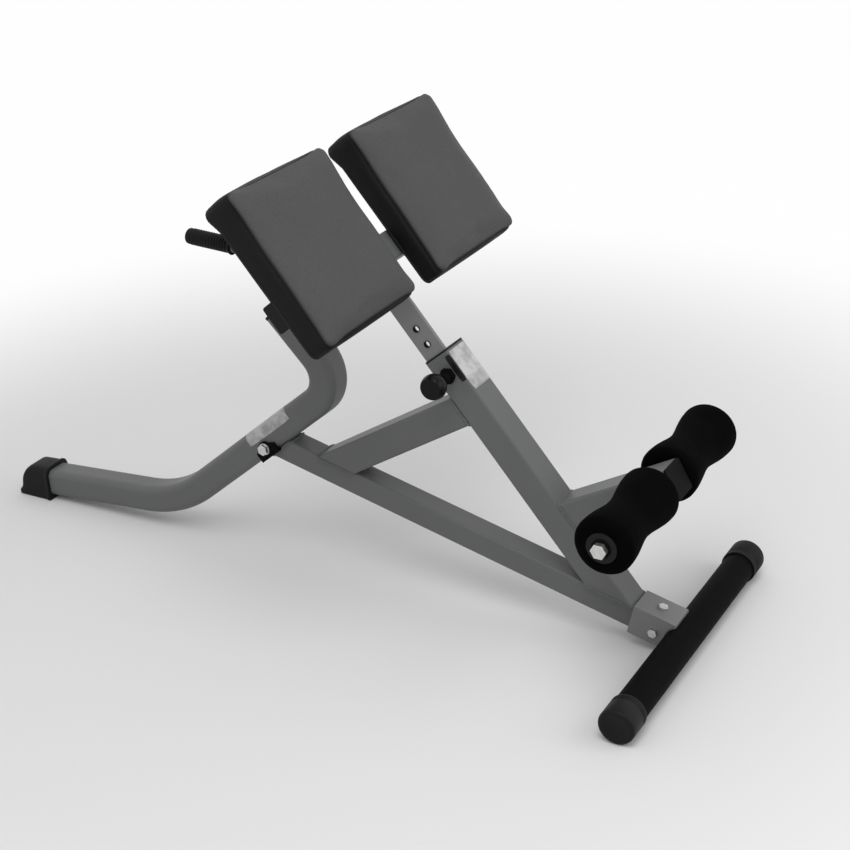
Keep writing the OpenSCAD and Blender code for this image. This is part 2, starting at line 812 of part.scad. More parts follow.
// Handle frame: origin on the cross tube's upper face, +X up the slope, bending down and forward
module handle_frame(side) {
    slope_frame() translate([-cross_drop - cross_w / 2, side * handle_y, cross_n])
        rotate([0, 0, 180]) mirror([0, 0, 1]) children();
}

module handle(side) {
    color(steel_grey) handle_frame(side) {
        run(0, handle_rise - forward_tangent + bend_lap) handle_section();
        translate([handle_rise - forward_tangent, 0, 0]) {
            bend(handle_radius, forward_turn) handle_section();
            after_bend(handle_radius, forward_turn) run(-bend_lap, handle_reach) handle_section();
        }
    }
}

module handle_section() {
    difference() {
        circle(d = handle_d + 2 * $swell);
        circle(d = handle_d - 2 * handle_wall - 2 * $swell);
    }
}

module grip(side) {
    r = handle_d / 2 + grip_wall;
    color(black) handle_frame(side) translate([handle_rise - forward_tangent, 0, 0])
        after_bend(handle_radius, forward_turn) rotate([0, 90, 0]) difference() {
            union() {
                cylinder(r = r, h = handle_reach);
                translate([0, 0, handle_reach]) cylinder(r1 = r, r2 = r - grip_round, h = grip_round + 1);
            }
            translate([0, 0, -1]) cylinder(r = handle_d / 2 + fit, h = handle_reach + 1 + fit);
        }
}

// ---------- The assembly ----------

placed() front_leg_tube();
placed() front_foot_cap();
placed() leg_top_cap();
placed() leg_bracket();
placed() leg_bolt();
placed() leg_washers();
placed() leg_nut();
placed() base_tube();
placed() strut_tube();
placed() upright_tube();
placed() upright_bushing();
placed() rear_bracket();
placed() rear_bolts();
placed() rear_nuts();
placed() rear_crossbar();
placed() crossbar_cap(left);  // left_crossbar_cap
placed() crossbar_cap(right);  // right_crossbar_cap
placed() roller_arm();
placed() arm_end_cap();
placed() roller_axle();
placed() axle_washers();
placed() axle_nuts();
placed() roller_sleeve(left);  // left_roller_sleeve
placed() foam_roller(left);  // left_foam_roller
placed() roller_sleeve(right);  // right_roller_sleeve
placed() foam_roller(right);  // right_foam_roller
placed() pin_housing();
placed() pin_spring();
placed() pin_plunger();
placed() pin_knob();
placed() pad_post();
placed() pad_cross_tube();
placed() cross_cap(left);  // left_cross_cap
placed() cross_cap(right);  // right_cross_cap
placed() pad_plate(left);  // left_pad_plate
placed() pad_plate(right);  // right_pad_plate
placed() pad_bolts(left);  // left_pad_bolts
placed() pad_bolts(right);  // right_pad_bolts
placed() pad_board(left);  // left_pad_board
placed() pad_board(right);  // right_pad_board
placed() pad(left);  // left_pad
placed() pad(right);  // right_pad
placed() handle(left);  // left_handle
placed() handle(right);  // right_handle
placed() grip(left);  // left_grip
placed() grip(right);  // right_grip
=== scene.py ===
"""A roman chair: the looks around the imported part.

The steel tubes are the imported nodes. The thigh pads, the foam ankle rollers, the hand grips,
the foot cap, the crossbar cups, the weld beads, the hems and staples, the seams, the bare labels
and the rounded fittings are built here, each sub-assembly by a class of its own.
"""

import json
import logging
import math
from dataclasses import dataclass, field
from enum import Enum
from typing import Callable, Optional, Union

import bmesh
import bpy
from mathutils import Matrix, Vector, noise
from mathutils.bvhtree import BVHTree


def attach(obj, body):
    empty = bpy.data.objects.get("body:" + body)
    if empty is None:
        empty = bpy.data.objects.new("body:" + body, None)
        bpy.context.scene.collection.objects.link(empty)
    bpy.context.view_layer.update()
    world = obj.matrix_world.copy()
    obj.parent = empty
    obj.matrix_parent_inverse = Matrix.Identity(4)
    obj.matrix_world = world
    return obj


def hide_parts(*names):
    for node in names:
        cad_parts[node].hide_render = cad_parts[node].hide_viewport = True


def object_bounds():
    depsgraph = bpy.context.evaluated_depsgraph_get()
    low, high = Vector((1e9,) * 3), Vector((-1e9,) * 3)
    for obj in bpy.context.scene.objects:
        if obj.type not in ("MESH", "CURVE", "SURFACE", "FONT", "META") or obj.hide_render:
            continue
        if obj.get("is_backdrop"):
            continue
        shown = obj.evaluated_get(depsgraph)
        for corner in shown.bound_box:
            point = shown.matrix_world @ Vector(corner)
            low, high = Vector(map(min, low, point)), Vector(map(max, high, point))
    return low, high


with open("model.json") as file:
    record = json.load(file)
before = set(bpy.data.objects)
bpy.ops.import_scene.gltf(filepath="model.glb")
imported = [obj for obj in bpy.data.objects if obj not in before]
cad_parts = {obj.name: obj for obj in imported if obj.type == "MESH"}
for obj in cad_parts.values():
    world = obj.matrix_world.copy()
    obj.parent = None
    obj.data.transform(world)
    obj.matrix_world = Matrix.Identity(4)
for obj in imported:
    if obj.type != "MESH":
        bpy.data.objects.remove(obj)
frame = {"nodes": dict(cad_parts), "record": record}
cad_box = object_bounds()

LOG = logging.getLogger("roman_chair")
MM = 0.001


# ---------------------------------------------------------------- shader maths


class Wire:
    """A shader socket that takes part in arithmetic; each operation adds a Math node."""

    def __init__(self, recipe: "Graph", socket: Optional[bpy.types.NodeSocket]) -> None:
        """Wraps one output socket of a graph's node."""
        self.recipe = recipe
        self.socket = socket

    def output(self, key: Union[int, str]) -> "Wire":
        """Another output of the same node, by its index or name."""
        return Wire(self.recipe, self.socket.node.outputs[key])

    def _math(self, operation: str, first: "Feed", second: "Feed" = 0.0) -> "Wire":
        """A Math node on two values."""
        return self.recipe.node("ShaderNodeMath", {"operation": operation}, {0: first, 1: second})

    def __add__(self, other: "Feed") -> "Wire":
        """self + other."""
        return self._math("ADD", self, other)

    __radd__ = __add__

    def __sub__(self, other: "Feed") -> "Wire":
        """self - other."""
        return self._math("SUBTRACT", self, other)

    def __rsub__(self, other: "Feed") -> "Wire":
        """other - self."""
        return self._math("SUBTRACT", other, self)

    def __mul__(self, other: "Feed") -> "Wire":
        """self * other."""
        return self._math("MULTIPLY", self, other)

    __rmul__ = __mul__

    def clamped(self) -> "Wire":
        """The value kept between 0 and 1."""
        return self.recipe.node("ShaderNodeClamp", {}, {0: self})

    def step(self, low: float, high: float) -> "Wire":
        """A smooth rise from 0 to 1.

        Args:
            low: Where the rise starts.
            high: Where it ends.

        Returns:
            The risen value.
        """
        return self.recipe.node(
            "ShaderNodeMapRange",
            {"interpolation_type": "SMOOTHSTEP"},
            {"Value": self, "From Min": low, "From Max": high},
        )


Feed = Union[float, tuple, Wire]


class Graph:
    """Builds the nodes of one shader tree."""

    def __init__(self, holder: Union[bpy.types.Material, bpy.types.World]) -> None:
        """Empties a shader tree.

        Args:
            holder: The material or world that has the tree.
        """
        holder.use_nodes = True
        self.tree = holder.node_tree
        self.tree.nodes.clear()

    def node(
        self,
        kind: str,
        settings: Optional[dict] = None,
        sockets: Optional[dict] = None,
    ) -> Wire:
        """Adds a node.

        Args:
            kind: The node's type.
            settings: Its properties, set before its sockets.
            sockets: Values or wires for its inputs, by name or index.

        Returns:
            Its first output.
        """
        made = self.tree.nodes.new(kind)
        for key, value in (settings or {}).items():
            setattr(made, key, value)
        self.feed(made, sockets or {})
        return Wire(self, made.outputs[0] if made.outputs else None)

    def feed(self, node: bpy.types.Node, sockets: dict) -> None:
        """Sets or links a node's inputs.

        Args:
            node: The node.
            sockets: Values or wires, by name or index.
        """
        for key, value in sockets.items():
            if isinstance(value, Wire):
                self.tree.links.new(value.socket, node.inputs[key])
            else:
                node.inputs[key].default_value = value

    def background_seen(self) -> Wire:
        """Where the background shows.

        Returns:
            1 where the camera, gloss or glass sees it, 0 for the light that it gives.
        """
        camera = self.node("ShaderNodeLightPath")
        rays = camera + camera.output("Is Glossy Ray") + camera.output("Is Transmission Ray")
        return rays.clamped()


class Recipe(Graph):
    """Builds the nodes of one material round a Principled surface."""

    def __init__(self, name: str) -> None:
        """Starts a material with its surface and its output.

        Args:
            name: The material's name.
        """
        self.material = bpy.data.materials.new(name)
        super().__init__(self.material)
        self.shader = self.node("ShaderNodeBsdfPrincipled")
        self.node("ShaderNodeOutputMaterial", {}, {"Surface": self.shader})

    def surface(self, sockets: dict) -> None:
        """Sets or links the Principled surface's inputs."""
        self.feed(self.shader.socket.node, sockets)

    def shown(self, shader: Wire) -> None:
        """Puts another shader on the surface."""
        self.feed(self.tree.nodes["Material Output"], {"Surface": shader})

    def place(self, scale: tuple = (1.0, 1.0, 1.0), turn: tuple = (0.0, 0.0, 0.0)) -> Wire:
        """Object coordinates, turned and stretched.

        Args:
            scale: How much finer the pattern is along each axis.
            turn: Its turn about each axis, in radians.

        Returns:
            The coordinates.
        """
        where = self.node("ShaderNodeTexCoord").output("Object")
        return self.node(
            "ShaderNodeMapping", {}, {"Vector": where, "Scale": scale, "Rotation": turn}
        )

    def own(self, name: str) -> Wire:
        """One of the piece's own attributes, as a value."""
        return self.node("ShaderNodeAttribute", {"attribute_name": name}).output("Fac")

    def noise(self, scale: float, detail: float = 3.0, where: Optional[Wire] = None) -> Wire:
        """Noise from 0 to 1.

        Args:
            scale: Features per metre.
            detail: Octaves of finer noise.
            where: Its coordinates, or None for the object's own.

        Returns:
            The noise.
        """
        return self.node(
            "ShaderNodeTexNoise",
            {},
            {"Vector": where or self.place(), "Scale": scale, "Detail": detail},
        )

    def cells(self, scale: float, feature: str = "F1", where: Optional[Wire] = None) -> Wire:
        """Voronoi cells.

        Args:
            scale: Cells per metre.
            feature: Which distance is measured.
            where: Their coordinates, or None for the object's own.

        Returns:
            The distance.
        """
        return self.node(
            "ShaderNodeTexVoronoi",
            {"feature": feature},
            {"Vector": where or self.place(), "Scale": scale},
        )

    def blend(self, first: Feed, second: Feed, share: Feed) -> Wire:
        """A colour between two.

        Args:
            first: The colour at share 0.
            second: The colour at share 1.
            share: How much of the second.

        Returns:
            The mixed colour.
        """
        made = self.node("ShaderNodeMix", {"data_type": "RGBA"}, {0: share, 6: first, 7: second})
        return made.output(2)

    def relief(self, height: Wire, depth: float, strength: float = 1.0) -> Wire:
        """A Bump node's normal.

        Args:
            height: The relief, about 0 to 1.
            depth: What a height of 1 stands for, in metres.
            strength: How strongly it shows.

        Returns:
            The normal.
        """
        return self.node(
            "ShaderNodeBump", {}, {"Height": height, "Distance": depth, "Strength": strength}
        )


# ---------------------------------------------------------------- finishes


def grey(level: float, warmth: float = 0.0) -> tuple:
    """A grey of that linear level, a little warm or cool."""
    return (level * (1 + warmth), level, level * (1 - warmth), 1.0)


def shade(colour: tuple, by: float) -> tuple:
    """The colour made lighter or darker by a factor."""
    return (colour[0] * by, colour[1] * by, colour[2] * by, 1.0)


@dataclass(frozen=True)
class Finish:
    """What every finish has: a name, a colour and a roughness."""

    name: str
    colour: tuple
    roughness: float

    def material(self) -> bpy.types.Material:
        """Builds the finish once.

        Returns:
            Its material.
        """
        known = bpy.data.materials.get(self.name)
        if known:
            return known
        recipe = Recipe(self.name)
        self.lay(recipe)
        return recipe.material

    def lay(self, recipe: Recipe) -> None:
        """Dresses a surface; each kind of finish has its own."""
        raise NotImplementedError


@dataclass(frozen=True)
class PowderCoat(Finish):
    """Baked powder paint: an orange-peel skin, faint mottling and dull scuffs."""

    peel: float = 520.0
    peel_depth: float = 0.00011
    scuffs: float = 0.16
    gloss: float = 0.28

    def lay(self, recipe: Recipe) -> None:
        """Dresses a surface.

        Args:
            recipe: The material's recipe.
        """
        cloud = recipe.noise(7.0, 2.0)
        fleck = recipe.noise(1500.0, 1.0)
        rub = recipe.noise(38.0, 6.0).step(0.62, 0.78)
        base = recipe.blend(shade(self.colour, 0.9), shade(self.colour, 1.1), cloud)
        flecked = recipe.blend(base, shade(self.colour, 1.28), fleck.step(0.55, 0.75) * 0.5)
        scuffed = recipe.blend(flecked, shade(self.colour, 1.5), rub * self.scuffs)
        peel = recipe.noise(self.peel, 2.0) + fleck * 0.2
        recipe.surface(
            {
                "Base Color": scuffed,
                "Roughness": (self.roughness + (cloud - 0.5) * 0.14 + rub * 0.12).clamped(),
                "Normal": recipe.relief(peel, self.peel_depth, 0.7),
                "Specular IOR Level": self.gloss,
            }
        )


@dataclass(frozen=True)
class Plated(Finish):
    """Bright zinc plate: fine brushing and a faint cloudy bloom."""

    brush: tuple = (900.0, 60.0, 900.0)

    def lay(self, recipe: Recipe) -> None:
        """Dresses a surface.

        Args:
            recipe: The material's recipe.
        """
        bloom = recipe.noise(150.0, 3.0)
        lines = recipe.noise(1.0, 2.0, recipe.place(self.brush))
        base = recipe.blend(shade(self.colour, 0.78), shade(self.colour, 1.12), bloom)
        recipe.surface(
            {
                "Base Color": base,
                "Metallic": 1.0,
                "Roughness": (self.roughness + (bloom - 0.5) * 0.2 + lines * 0.08).clamped(),
                "Normal": recipe.relief(lines, 0.00002, 0.6),
            }
        )


@dataclass(frozen=True)
class Moulded(Finish):
    """Moulded rubber or plastic: a spark-eroded skin with soft handling marks."""

    grain: float = 1600.0
    depth: float = 0.00006
    wear: float = 0.35
    gloss: float = 0.15

    def lay(self, recipe: Recipe) -> None:
        """Dresses a surface.

        Args:
            recipe: The material's recipe.
        """
        skin = recipe.noise(self.grain, 2.0)
        marks = recipe.noise(26.0, 5.0).step(0.52, 0.8)
        base = recipe.blend(self.colour, shade(self.colour, 1.0 + 1.6 * self.wear), marks)
        recipe.surface(
            {
                "Base Color": base,
                "Roughness": (self.roughness + marks * 0.12 - skin * 0.05).clamped(),
                "Normal": recipe.relief(skin, self.depth, 0.8),
                "Specular IOR Level": self.gloss,
            }
        )


@dataclass(frozen=True)
class FoamSkin(Finish):
    """Closed-cell foam: tiny open cells, a few larger pits and a dry, dusty bloom."""

    cell: float = 900.0

    def lay(self, recipe: Recipe) -> None:
        """Dresses a surface.

        Args:
            recipe: The material's recipe.
        """
        cell = recipe.cells(self.cell)
        pit = recipe.cells(240.0).step(0.0, 0.28)
        bloom = recipe.noise(18.0, 4.0).step(0.45, 0.8)
        base = recipe.blend(self.colour, shade(self.colour, 1.9), bloom * 0.7)
        # painted shade: the foam's open cells are darker towards their middles
        cell_shaded = recipe.blend(shade(self.colour, 0.45), base, (cell * 2.2).clamped())
        recipe.surface(
            {
                "Base Color": cell_shaded,
                "Roughness": (self.roughness - bloom * 0.08).clamped(),
                "Normal": recipe.relief(cell + pit * 0.6, 0.00035, 0.55),
                "Specular IOR Level": 0.03,
            }
        )


@dataclass(frozen=True)
class CoverHide(Finish):
    """Synthetic leather: pebbled grain with fine creases and slightly polished high spots.

    The cover's own attributes say where its sides below the seam get painted shade, and where its
    seam line is painted dark with dirt and painted shade.
    """

    pebble: float = 620.0
    # side_shade: how dark the sides below the seam are painted; painted shade for the light that
    # the sides miss
    side_shade: float = 0.1
    # seam: how dark the seam line is painted, for dirt and painted shade in the groove
    seam: float = 0.07

    def lay(self, recipe: Recipe) -> None:
        """Dresses a surface.

        Args:
            recipe: The material's recipe.
        """
        wander = recipe.noise(210.0, 2.0)
        where = recipe.place()
        bent = recipe.node(
            "ShaderNodeVectorMath",
            {"operation": "MULTIPLY_ADD"},
            {0: wander.output(1), 1: (0.0016, 0.0016, 0.0016), 2: where},
        )
        crease = recipe.cells(self.pebble, "DISTANCE_TO_EDGE", bent).step(0.0, 0.16)
        fine = recipe.noise(2400.0, 2.0)
        cloud = recipe.noise(11.0, 3.0)
        panel = recipe.blend(shade(self.colour, 0.93), shade(self.colour, 1.07), cloud)
        # painted shade: the sides below the seam take a darker copy of the cover's colour
        side = recipe.blend(panel, shade(self.colour, self.side_shade), recipe.own("side_band"))
        # the seam line is painted dark: dirt and painted shade in the groove
        base = recipe.blend(side, shade(self.colour, self.seam), recipe.own("seam_line"))
        # painted shade: the grain's creases are darkened by multiplying the colour
        crease_shaded = recipe.node(
            "ShaderNodeMix", {"data_type": "RGBA", "blend_type": "MULTIPLY"},
            {0: 1.0 - crease, 6: base, 7: grey(0.72)},
        )
        grained = crease_shaded.output(2)
        polish = recipe.noise(30.0, 4.0).step(0.5, 0.75)
        recipe.surface(
            {
                "Base Color": grained,
                "Roughness": (self.roughness - polish * 0.07 + (1 - crease) * 0.1).clamped(),
                "Normal": recipe.relief(crease + fine * 0.25, 0.00016, 0.6),
                "Specular IOR Level": 0.11,
            }
        )


@dataclass(frozen=True)
class PlyFace(Finish):
    """Birch plywood: long wavering grain, darker pores and thin glue lines at the edges."""

    turn: tuple = (0.0, math.radians(51.5), 0.0)

    def lay(self, recipe: Recipe) -> None:
        """Dresses a surface.

        Args:
            recipe: The material's recipe.
        """
        along = recipe.place((6.0, 90.0, 90.0), self.turn)
        grain = recipe.noise(1.0, 5.0, along)
        fibre = recipe.place((60.0, 900.0, 900.0), self.turn)
        pores = recipe.noise(1.0, 2.0, fibre).step(0.56, 0.7)
        base = recipe.blend(shade(self.colour, 0.68), shade(self.colour, 1.2), grain)
        pored = recipe.blend(base, shade(self.colour, 0.35), pores * 0.5)
        recipe.surface(
            {
                "Base Color": pored,
                "Roughness": (self.roughness + grain * 0.1).clamped(),
                "Normal": recipe.relief(grain - pores, 0.0002, 0.5),
            }
        )


@dataclass(frozen=True)
class Film(Finish):
    """Printed film left bare: one tone with a faint rubbed mottling."""

    def lay(self, recipe: Recipe) -> None:
        """Dresses a surface.

        Args:
            recipe: The material's recipe.
        """
        rub = recipe.noise(60.0, 5.0).step(0.3, 0.7)
        base = recipe.blend(shade(self.colour, 0.74), shade(self.colour, 1.18), rub)
        recipe.surface(
            {
                "Base Color": base,
                "Roughness": (self.roughness + (rub - 0.5) * 0.2).clamped(),
                "Normal": recipe.relief(rub, 0.00004, 0.5),
                "Specular IOR Level": 0.2,
            }
        )


@dataclass(frozen=True)
class Thread(Finish):
    """Bonded sewing thread: a tight twist."""

    def lay(self, recipe: Recipe) -> None:
        """Dresses a surface.

        Args:
            recipe: The material's recipe.
        """
        twist = recipe.noise(2600.0, 1.0)
        base = recipe.blend(shade(self.colour, 0.6), shade(self.colour, 1.3), twist)
        recipe.surface(
            {
                "Base Color": base,
                "Roughness": self.roughness,
                "Normal": recipe.relief(twist, 0.0001, 0.6),
            }
        )


class Coat(Enum):
    """The finishes of this chair."""

    FRAME = PowderCoat("frame_grey", grey(0.117, -0.015), 0.46)
    BLACK = PowderCoat("satin_black", grey(0.004), 0.62, gloss=0.03)
    BRACKET = PowderCoat("bracket_grey", grey(0.19), 0.42)
    WELD = PowderCoat("weld_grey", grey(0.11, -0.015), 0.5, 240.0, 0.0003)
    ZINC = Plated("zinc_plate", grey(0.66, 0.01), 0.3)
    RUBBER = Moulded("foot_rubber", grey(0.0055, -0.04), 0.55)
    GRIP = Moulded("grip_rubber", grey(0.004), 0.62, 1100.0, 0.0001)
    PLASTIC = Moulded("black_fittings", grey(0.008), 0.5, 1900.0, 0.00004)
    PLUG = Moulded("matt_plug", grey(0.005), 0.6, 1900.0, 0.00004, 0.3, 0.05)
    KNOB = Moulded("knob_plastic", grey(0.003), 0.3, 1900.0, 0.00002, 0.2, 0.13)
    FOAM = FoamSkin("roller_foam", grey(0.0014), 0.92)
    HIDE = CoverHide("pad_hide", grey(0.083), 0.52)
    HEM = CoverHide("hem_hide", grey(0.02), 0.6)
    PLY = PlyFace("birch_ply", (0.46, 0.31, 0.17, 1.0), 0.62)
    PALE = Film("pale_film", grey(0.46), 0.4)
    LEG_FILM = Film("leg_film", grey(0.4), 0.42)
    DARK = Film("dark_film", grey(0.008), 0.38)
    THREAD = Thread("pad_thread", grey(0.03), 0.6)

    def material(self) -> bpy.types.Material:
        """The finish's material."""
        return self.value.material()


# ---------------------------------------------------------------- frames of the part


class Side(Enum):
    """Left is the -Y side."""

    LEFT = -1
    RIGHT = 1

    @property
    def word(self) -> str:
        """The side as it stands in names."""
        return self.name.lower()


@dataclass(frozen=True)
class Place:
    """A local frame in the side plane: its origin in millimetres and how far +X is turned up."""

    x: float
    z: float
    rise_deg: float

    def matrix(self) -> Matrix:
        """From local metres to the row frame."""
        turn = Matrix.Rotation(-math.radians(self.rise_deg), 4, "Y")
        return Matrix.Translation(Vector((self.x, 0, self.z)) * MM) @ turn

    def at(self, x: float, y: float, z: float) -> Vector:
        """A point given in local millimetres, in the row frame."""
        return self.matrix() @ (Vector((x, y, z)) * MM)

    def moved(self, x: float) -> "Place":
        """The frame carried along its own +X."""
        point = self.at(x, 0, 0) / MM
        return Place(point.x, point.z, self.rise_deg)


@dataclass(frozen=True)
class Layout:
    """The sizes that several sub-assemblies share, in millimetres and degrees."""

    crossbar_x: float = 641.0
    crossbar_z: float = 28.0
    base_deg: float = 14.4
    base_length: float = 760.0
    base_w: float = 40.0
    slope_deg: float = 51.5
    upright_length: float = 476.0
    upright_foot: float = 96.0
    main_w: float = 50.0
    main_corner: float = 5.0
    small_corner: float = 4.0
    leg_w: float = 50.0
    leg_corner: float = 12.0
    leg_rise_deg: float = 38.8
    strut_drop: float = 91.0
    strut_deg: float = 30.5
    axle_drop: float = 336.0
    axle_rise: float = 178.0
    arm_deg: float = 28.0
    cross_drop: float = 178.0
    cross_w: float = 45.0
    pad_base: float = 20.0
    plate_t: float = 4.0
    handle_y: float = 223.5

    @property
    def base(self) -> Place:
        """On the crossbar's axis, -X up along the base tube."""
        return Place(self.crossbar_x, self.crossbar_z, -self.base_deg)

    @property
    def slope(self) -> Place:
        """The upright's frame.

        Returns:
            Its origin at the middle of the rim, +X down the slope and +Z out to the pads.
        """
        foot_z = self.crossbar_z + self.upright_foot * math.tan(math.radians(self.base_deg))
        turn = math.radians(self.slope_deg)
        return Place(
            self.crossbar_x - self.upright_foot - self.upright_length * math.cos(turn),
            foot_z + self.upright_length * math.sin(turn),
            -self.slope_deg,
        )

    @property
    def leg(self) -> Place:
        """The leg's frame.

        Returns:
            Its origin where the base tube's axis meets the leg's, +X up along the leg.
        """
        turn = math.radians(self.base_deg)
        return Place(
            self.crossbar_x - self.base_length * math.cos(turn),
            self.crossbar_z + self.base_length * math.sin(turn),
            self.leg_rise_deg,
        )

    @property
    def strut(self) -> Place:
        """On the upright's axis at the strut, -X down along the strut."""
        start = self.slope.at(self.strut_drop, 0, 0) / MM
        return Place(start.x, start.z, self.strut_deg)

    @property
    def arm(self) -> Place:
        """On the roller axle, +X along the arm away from the upright."""
        axle = self.slope.at(self.axle_drop, 0, self.axle_rise) / MM
        return Place(axle.x, axle.z, self.arm_deg)

    @property
    def cross_level(self) -> float:
        """Height of the cross tube's axis in the slope frame."""
        return self.pad_base - self.plate_t - self.cross_w / 2


# ---------------------------------------------------------------- mesh helpers


def new_object(
    name: str, points: list, faces: list, coat: Coat, smooth: bool = True
) -> bpy.types.Object:
    """Makes a mesh object at the origin.

    Args:
        name: The piece's name.
        points: Its vertices in the row frame, in metres.
        faces: Vertex numbers of each face, turned outwards.
        coat: Its finish.
        smooth: Whether its faces are shaded smooth.

    Returns:
        The object, linked to the scene.
    """
    mesh = bpy.data.meshes.new(name)
    mesh.from_pydata([tuple(p) for p in points], [], faces)
    mesh.validate()
    mesh.update()
    mesh.materials.append(coat.material())
    mesh.polygons.foreach_set("use_smooth", [smooth] * len(mesh.polygons))
    made = bpy.data.objects.new(name, mesh)
    bpy.context.scene.collection.objects.link(made)
    return made


def outward(thing: bpy.types.Object) -> None:
    """Merges doubles and turns a closed mesh's faces outwards.

    Args:
        thing: The closed object.
    """
    made = bmesh.new()
    made.from_mesh(thing.data)
    bmesh.ops.remove_doubles(made, verts=made.verts, dist=1e-7)
    bmesh.ops.recalc_face_normals(made, faces=made.faces)
    made.to_mesh(thing.data)
    made.free()
    thing.data.update()


def settle(thing: bpy.types.Object) -> bpy.types.Object:
    """Turns an object with modifiers into a plain mesh.

    Args:
        thing: The object.

    Returns:
        The same object.
    """
    graph = bpy.context.evaluated_depsgraph_get()
    mesh = bpy.data.meshes.new_from_object(thing.evaluated_get(graph), depsgraph=graph)
    old = thing.data
    thing.modifiers.clear()
    if thing.type == "MESH":
        thing.data = mesh
        mesh.name = thing.name
        bpy.data.meshes.remove(old)
    return thing


def loft(name: str, rings: list, coat: Coat, ends: bool = True) -> bpy.types.Object:
    """Skins rings of equal count; without ends the last ring joins the first.

    Args:
        name: The piece's name.
        rings: Lists of points in the row frame.
        coat: Its finish.
        ends: Whether the first and last ring are closed with a face.

    Returns:
        The closed object.
    """
    count = len(rings[0])
    faces = []
    last = len(rings) - 1 if ends else len(rings)
    for k in range(last):
        low, high = k * count, (k + 1) % len(rings) * count
        for i in range(count):
            j = (i + 1) % count
            faces.append((low + i, low + j, high + j, high + i))
    if ends:
        faces.append(tuple(reversed(range(count))))
        faces.append(tuple(range((len(rings) - 1) * count, len(rings) * count)))
    made = new_object(name, [p for ring in rings for p in ring], faces, coat)
    outward(made)
    return made


def lathe(
    name: str, profile: list, place: Matrix, coat: Coat, around: int = 64, ends: bool = True
) -> bpy.types.Object:
    """Turns a profile round an axis.

    Args:
        name: The piece's name.
        profile: (radius, height) of each ring, in millimetres.
        place: The frame whose Z is the axis.
        coat: Its finish.
        around: Points in each ring.
        ends: Whether the first and last ring are closed with a face.

    Returns:
        The closed object.
    """
    turns = [2 * math.pi * i / around for i in range(around)]
    rings = [
        [
            place @ Vector((r * MM * math.cos(turn), r * MM * math.sin(turn), h * MM))
            for turn in turns
        ]
        for r, h in profile
    ]
    return loft(name, rings, coat, ends)


def arc(
    cx: float, cy: float, radius: float, start: float, stop: float, steps: int
) -> list:
    """Points of an arc.

    Args:
        cx: Its centre's x.
        cy: Its centre's y.
        radius: Its radius.
        start: Where it starts, in degrees.
        stop: Where it ends.
        steps: How many straight steps it takes.

    Returns:
        The points as (x, y), both ends included.
    """
    turns = [math.radians(start + (stop - start) * i / steps) for i in range(steps + 1)]
    return [(cx + radius * math.cos(turn), cy + radius * math.sin(turn)) for turn in turns]


def unit_circle(count: int) -> list:
    """Evenly spaced points of a circle of radius one."""
    return arc(0, 0, 1, 0, 360 - 360 / count, count - 1)


def outline(length: float, width: float, corner: float, inset: float, turns: int = 9) -> list:
    """A rounded rectangle with the same count of points whatever its size.

    Args:
        length: Its size along x.
        width: Its size along y.
        corner: Its corner radius.
        inset: How far it is set in all round.
        turns: Steps in each corner.

    Returns:
        The points as (x, y).
    """
    r, run = max(corner - inset, 0.5), 12
    hx, hy = length / 2 - inset - r, width / 2 - inset - r
    corners = [(hx, hy, 0), (-hx, hy, 90), (-hx, -hy, 180), (hx, -hy, 270)]
    points = []
    for k, (cx, cy, start) in enumerate(corners):
        turn = arc(cx, cy, r, start, start + 90, turns)
        ahead_x, ahead_y, ahead_turn = corners[(k + 1) % 4]
        x0, y0 = turn[-1]
        x1, y1 = arc(ahead_x, ahead_y, r, ahead_turn, ahead_turn + 90, turns)[0]
        points += turn
        points += [(x0 + (x1 - x0) * i / run, y0 + (y1 - y0) * i / run) for i in range(1, run)]
    return points


def smooth_rise(value: float, low: float, high: float) -> float:
    """A smooth rise from 0 to 1.

    Args:
        value: Where it is read.
        low: Where the rise starts.
        high: Where it ends.

    Returns:
        The risen value.
    """
    share = min(1.0, max(0.0, (value - low) / (high - low)))
    return share * share * (3 - 2 * share)


def softened(node: str, width: float, coat: Coat, angle: float = 32.0) -> bpy.types.Object:
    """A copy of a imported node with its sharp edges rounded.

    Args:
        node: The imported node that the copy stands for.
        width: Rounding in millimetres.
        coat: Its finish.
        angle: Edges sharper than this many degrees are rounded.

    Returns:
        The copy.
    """
    source = frame["nodes"][node]
    mesh = bpy.data.meshes.new(node + "_soft")
    made = bmesh.new()
    made.from_mesh(source.data)
    bmesh.ops.remove_doubles(made, verts=made.verts, dist=2e-6)
    bmesh.ops.dissolve_limit(
        made, angle_limit=math.radians(0.8), verts=made.verts, edges=made.edges
    )
    made.to_mesh(mesh)
    made.free()
    if mesh.has_custom_normals:
        mesh.attributes.remove(mesh.attributes["custom_normal"])
    mesh.polygons.foreach_set("use_smooth", [True] * len(mesh.polygons))
    mesh.materials.clear()
    mesh.materials.append(coat.material())
    copy = bpy.data.objects.new(node + "_soft", mesh)
    bpy.context.scene.collection.objects.link(copy)
    bevel = copy.modifiers.new("edges", "BEVEL")
    bevel.width = width * MM
    bevel.segments = 2
    bevel.limit_method = "ANGLE"
    bevel.angle_limit = math.radians(angle)
    bevel.harden_normals = True
    bevel.use_clamp_overlap = True
    return settle(copy)


# ---------------------------------------------------------------- geometry nodes


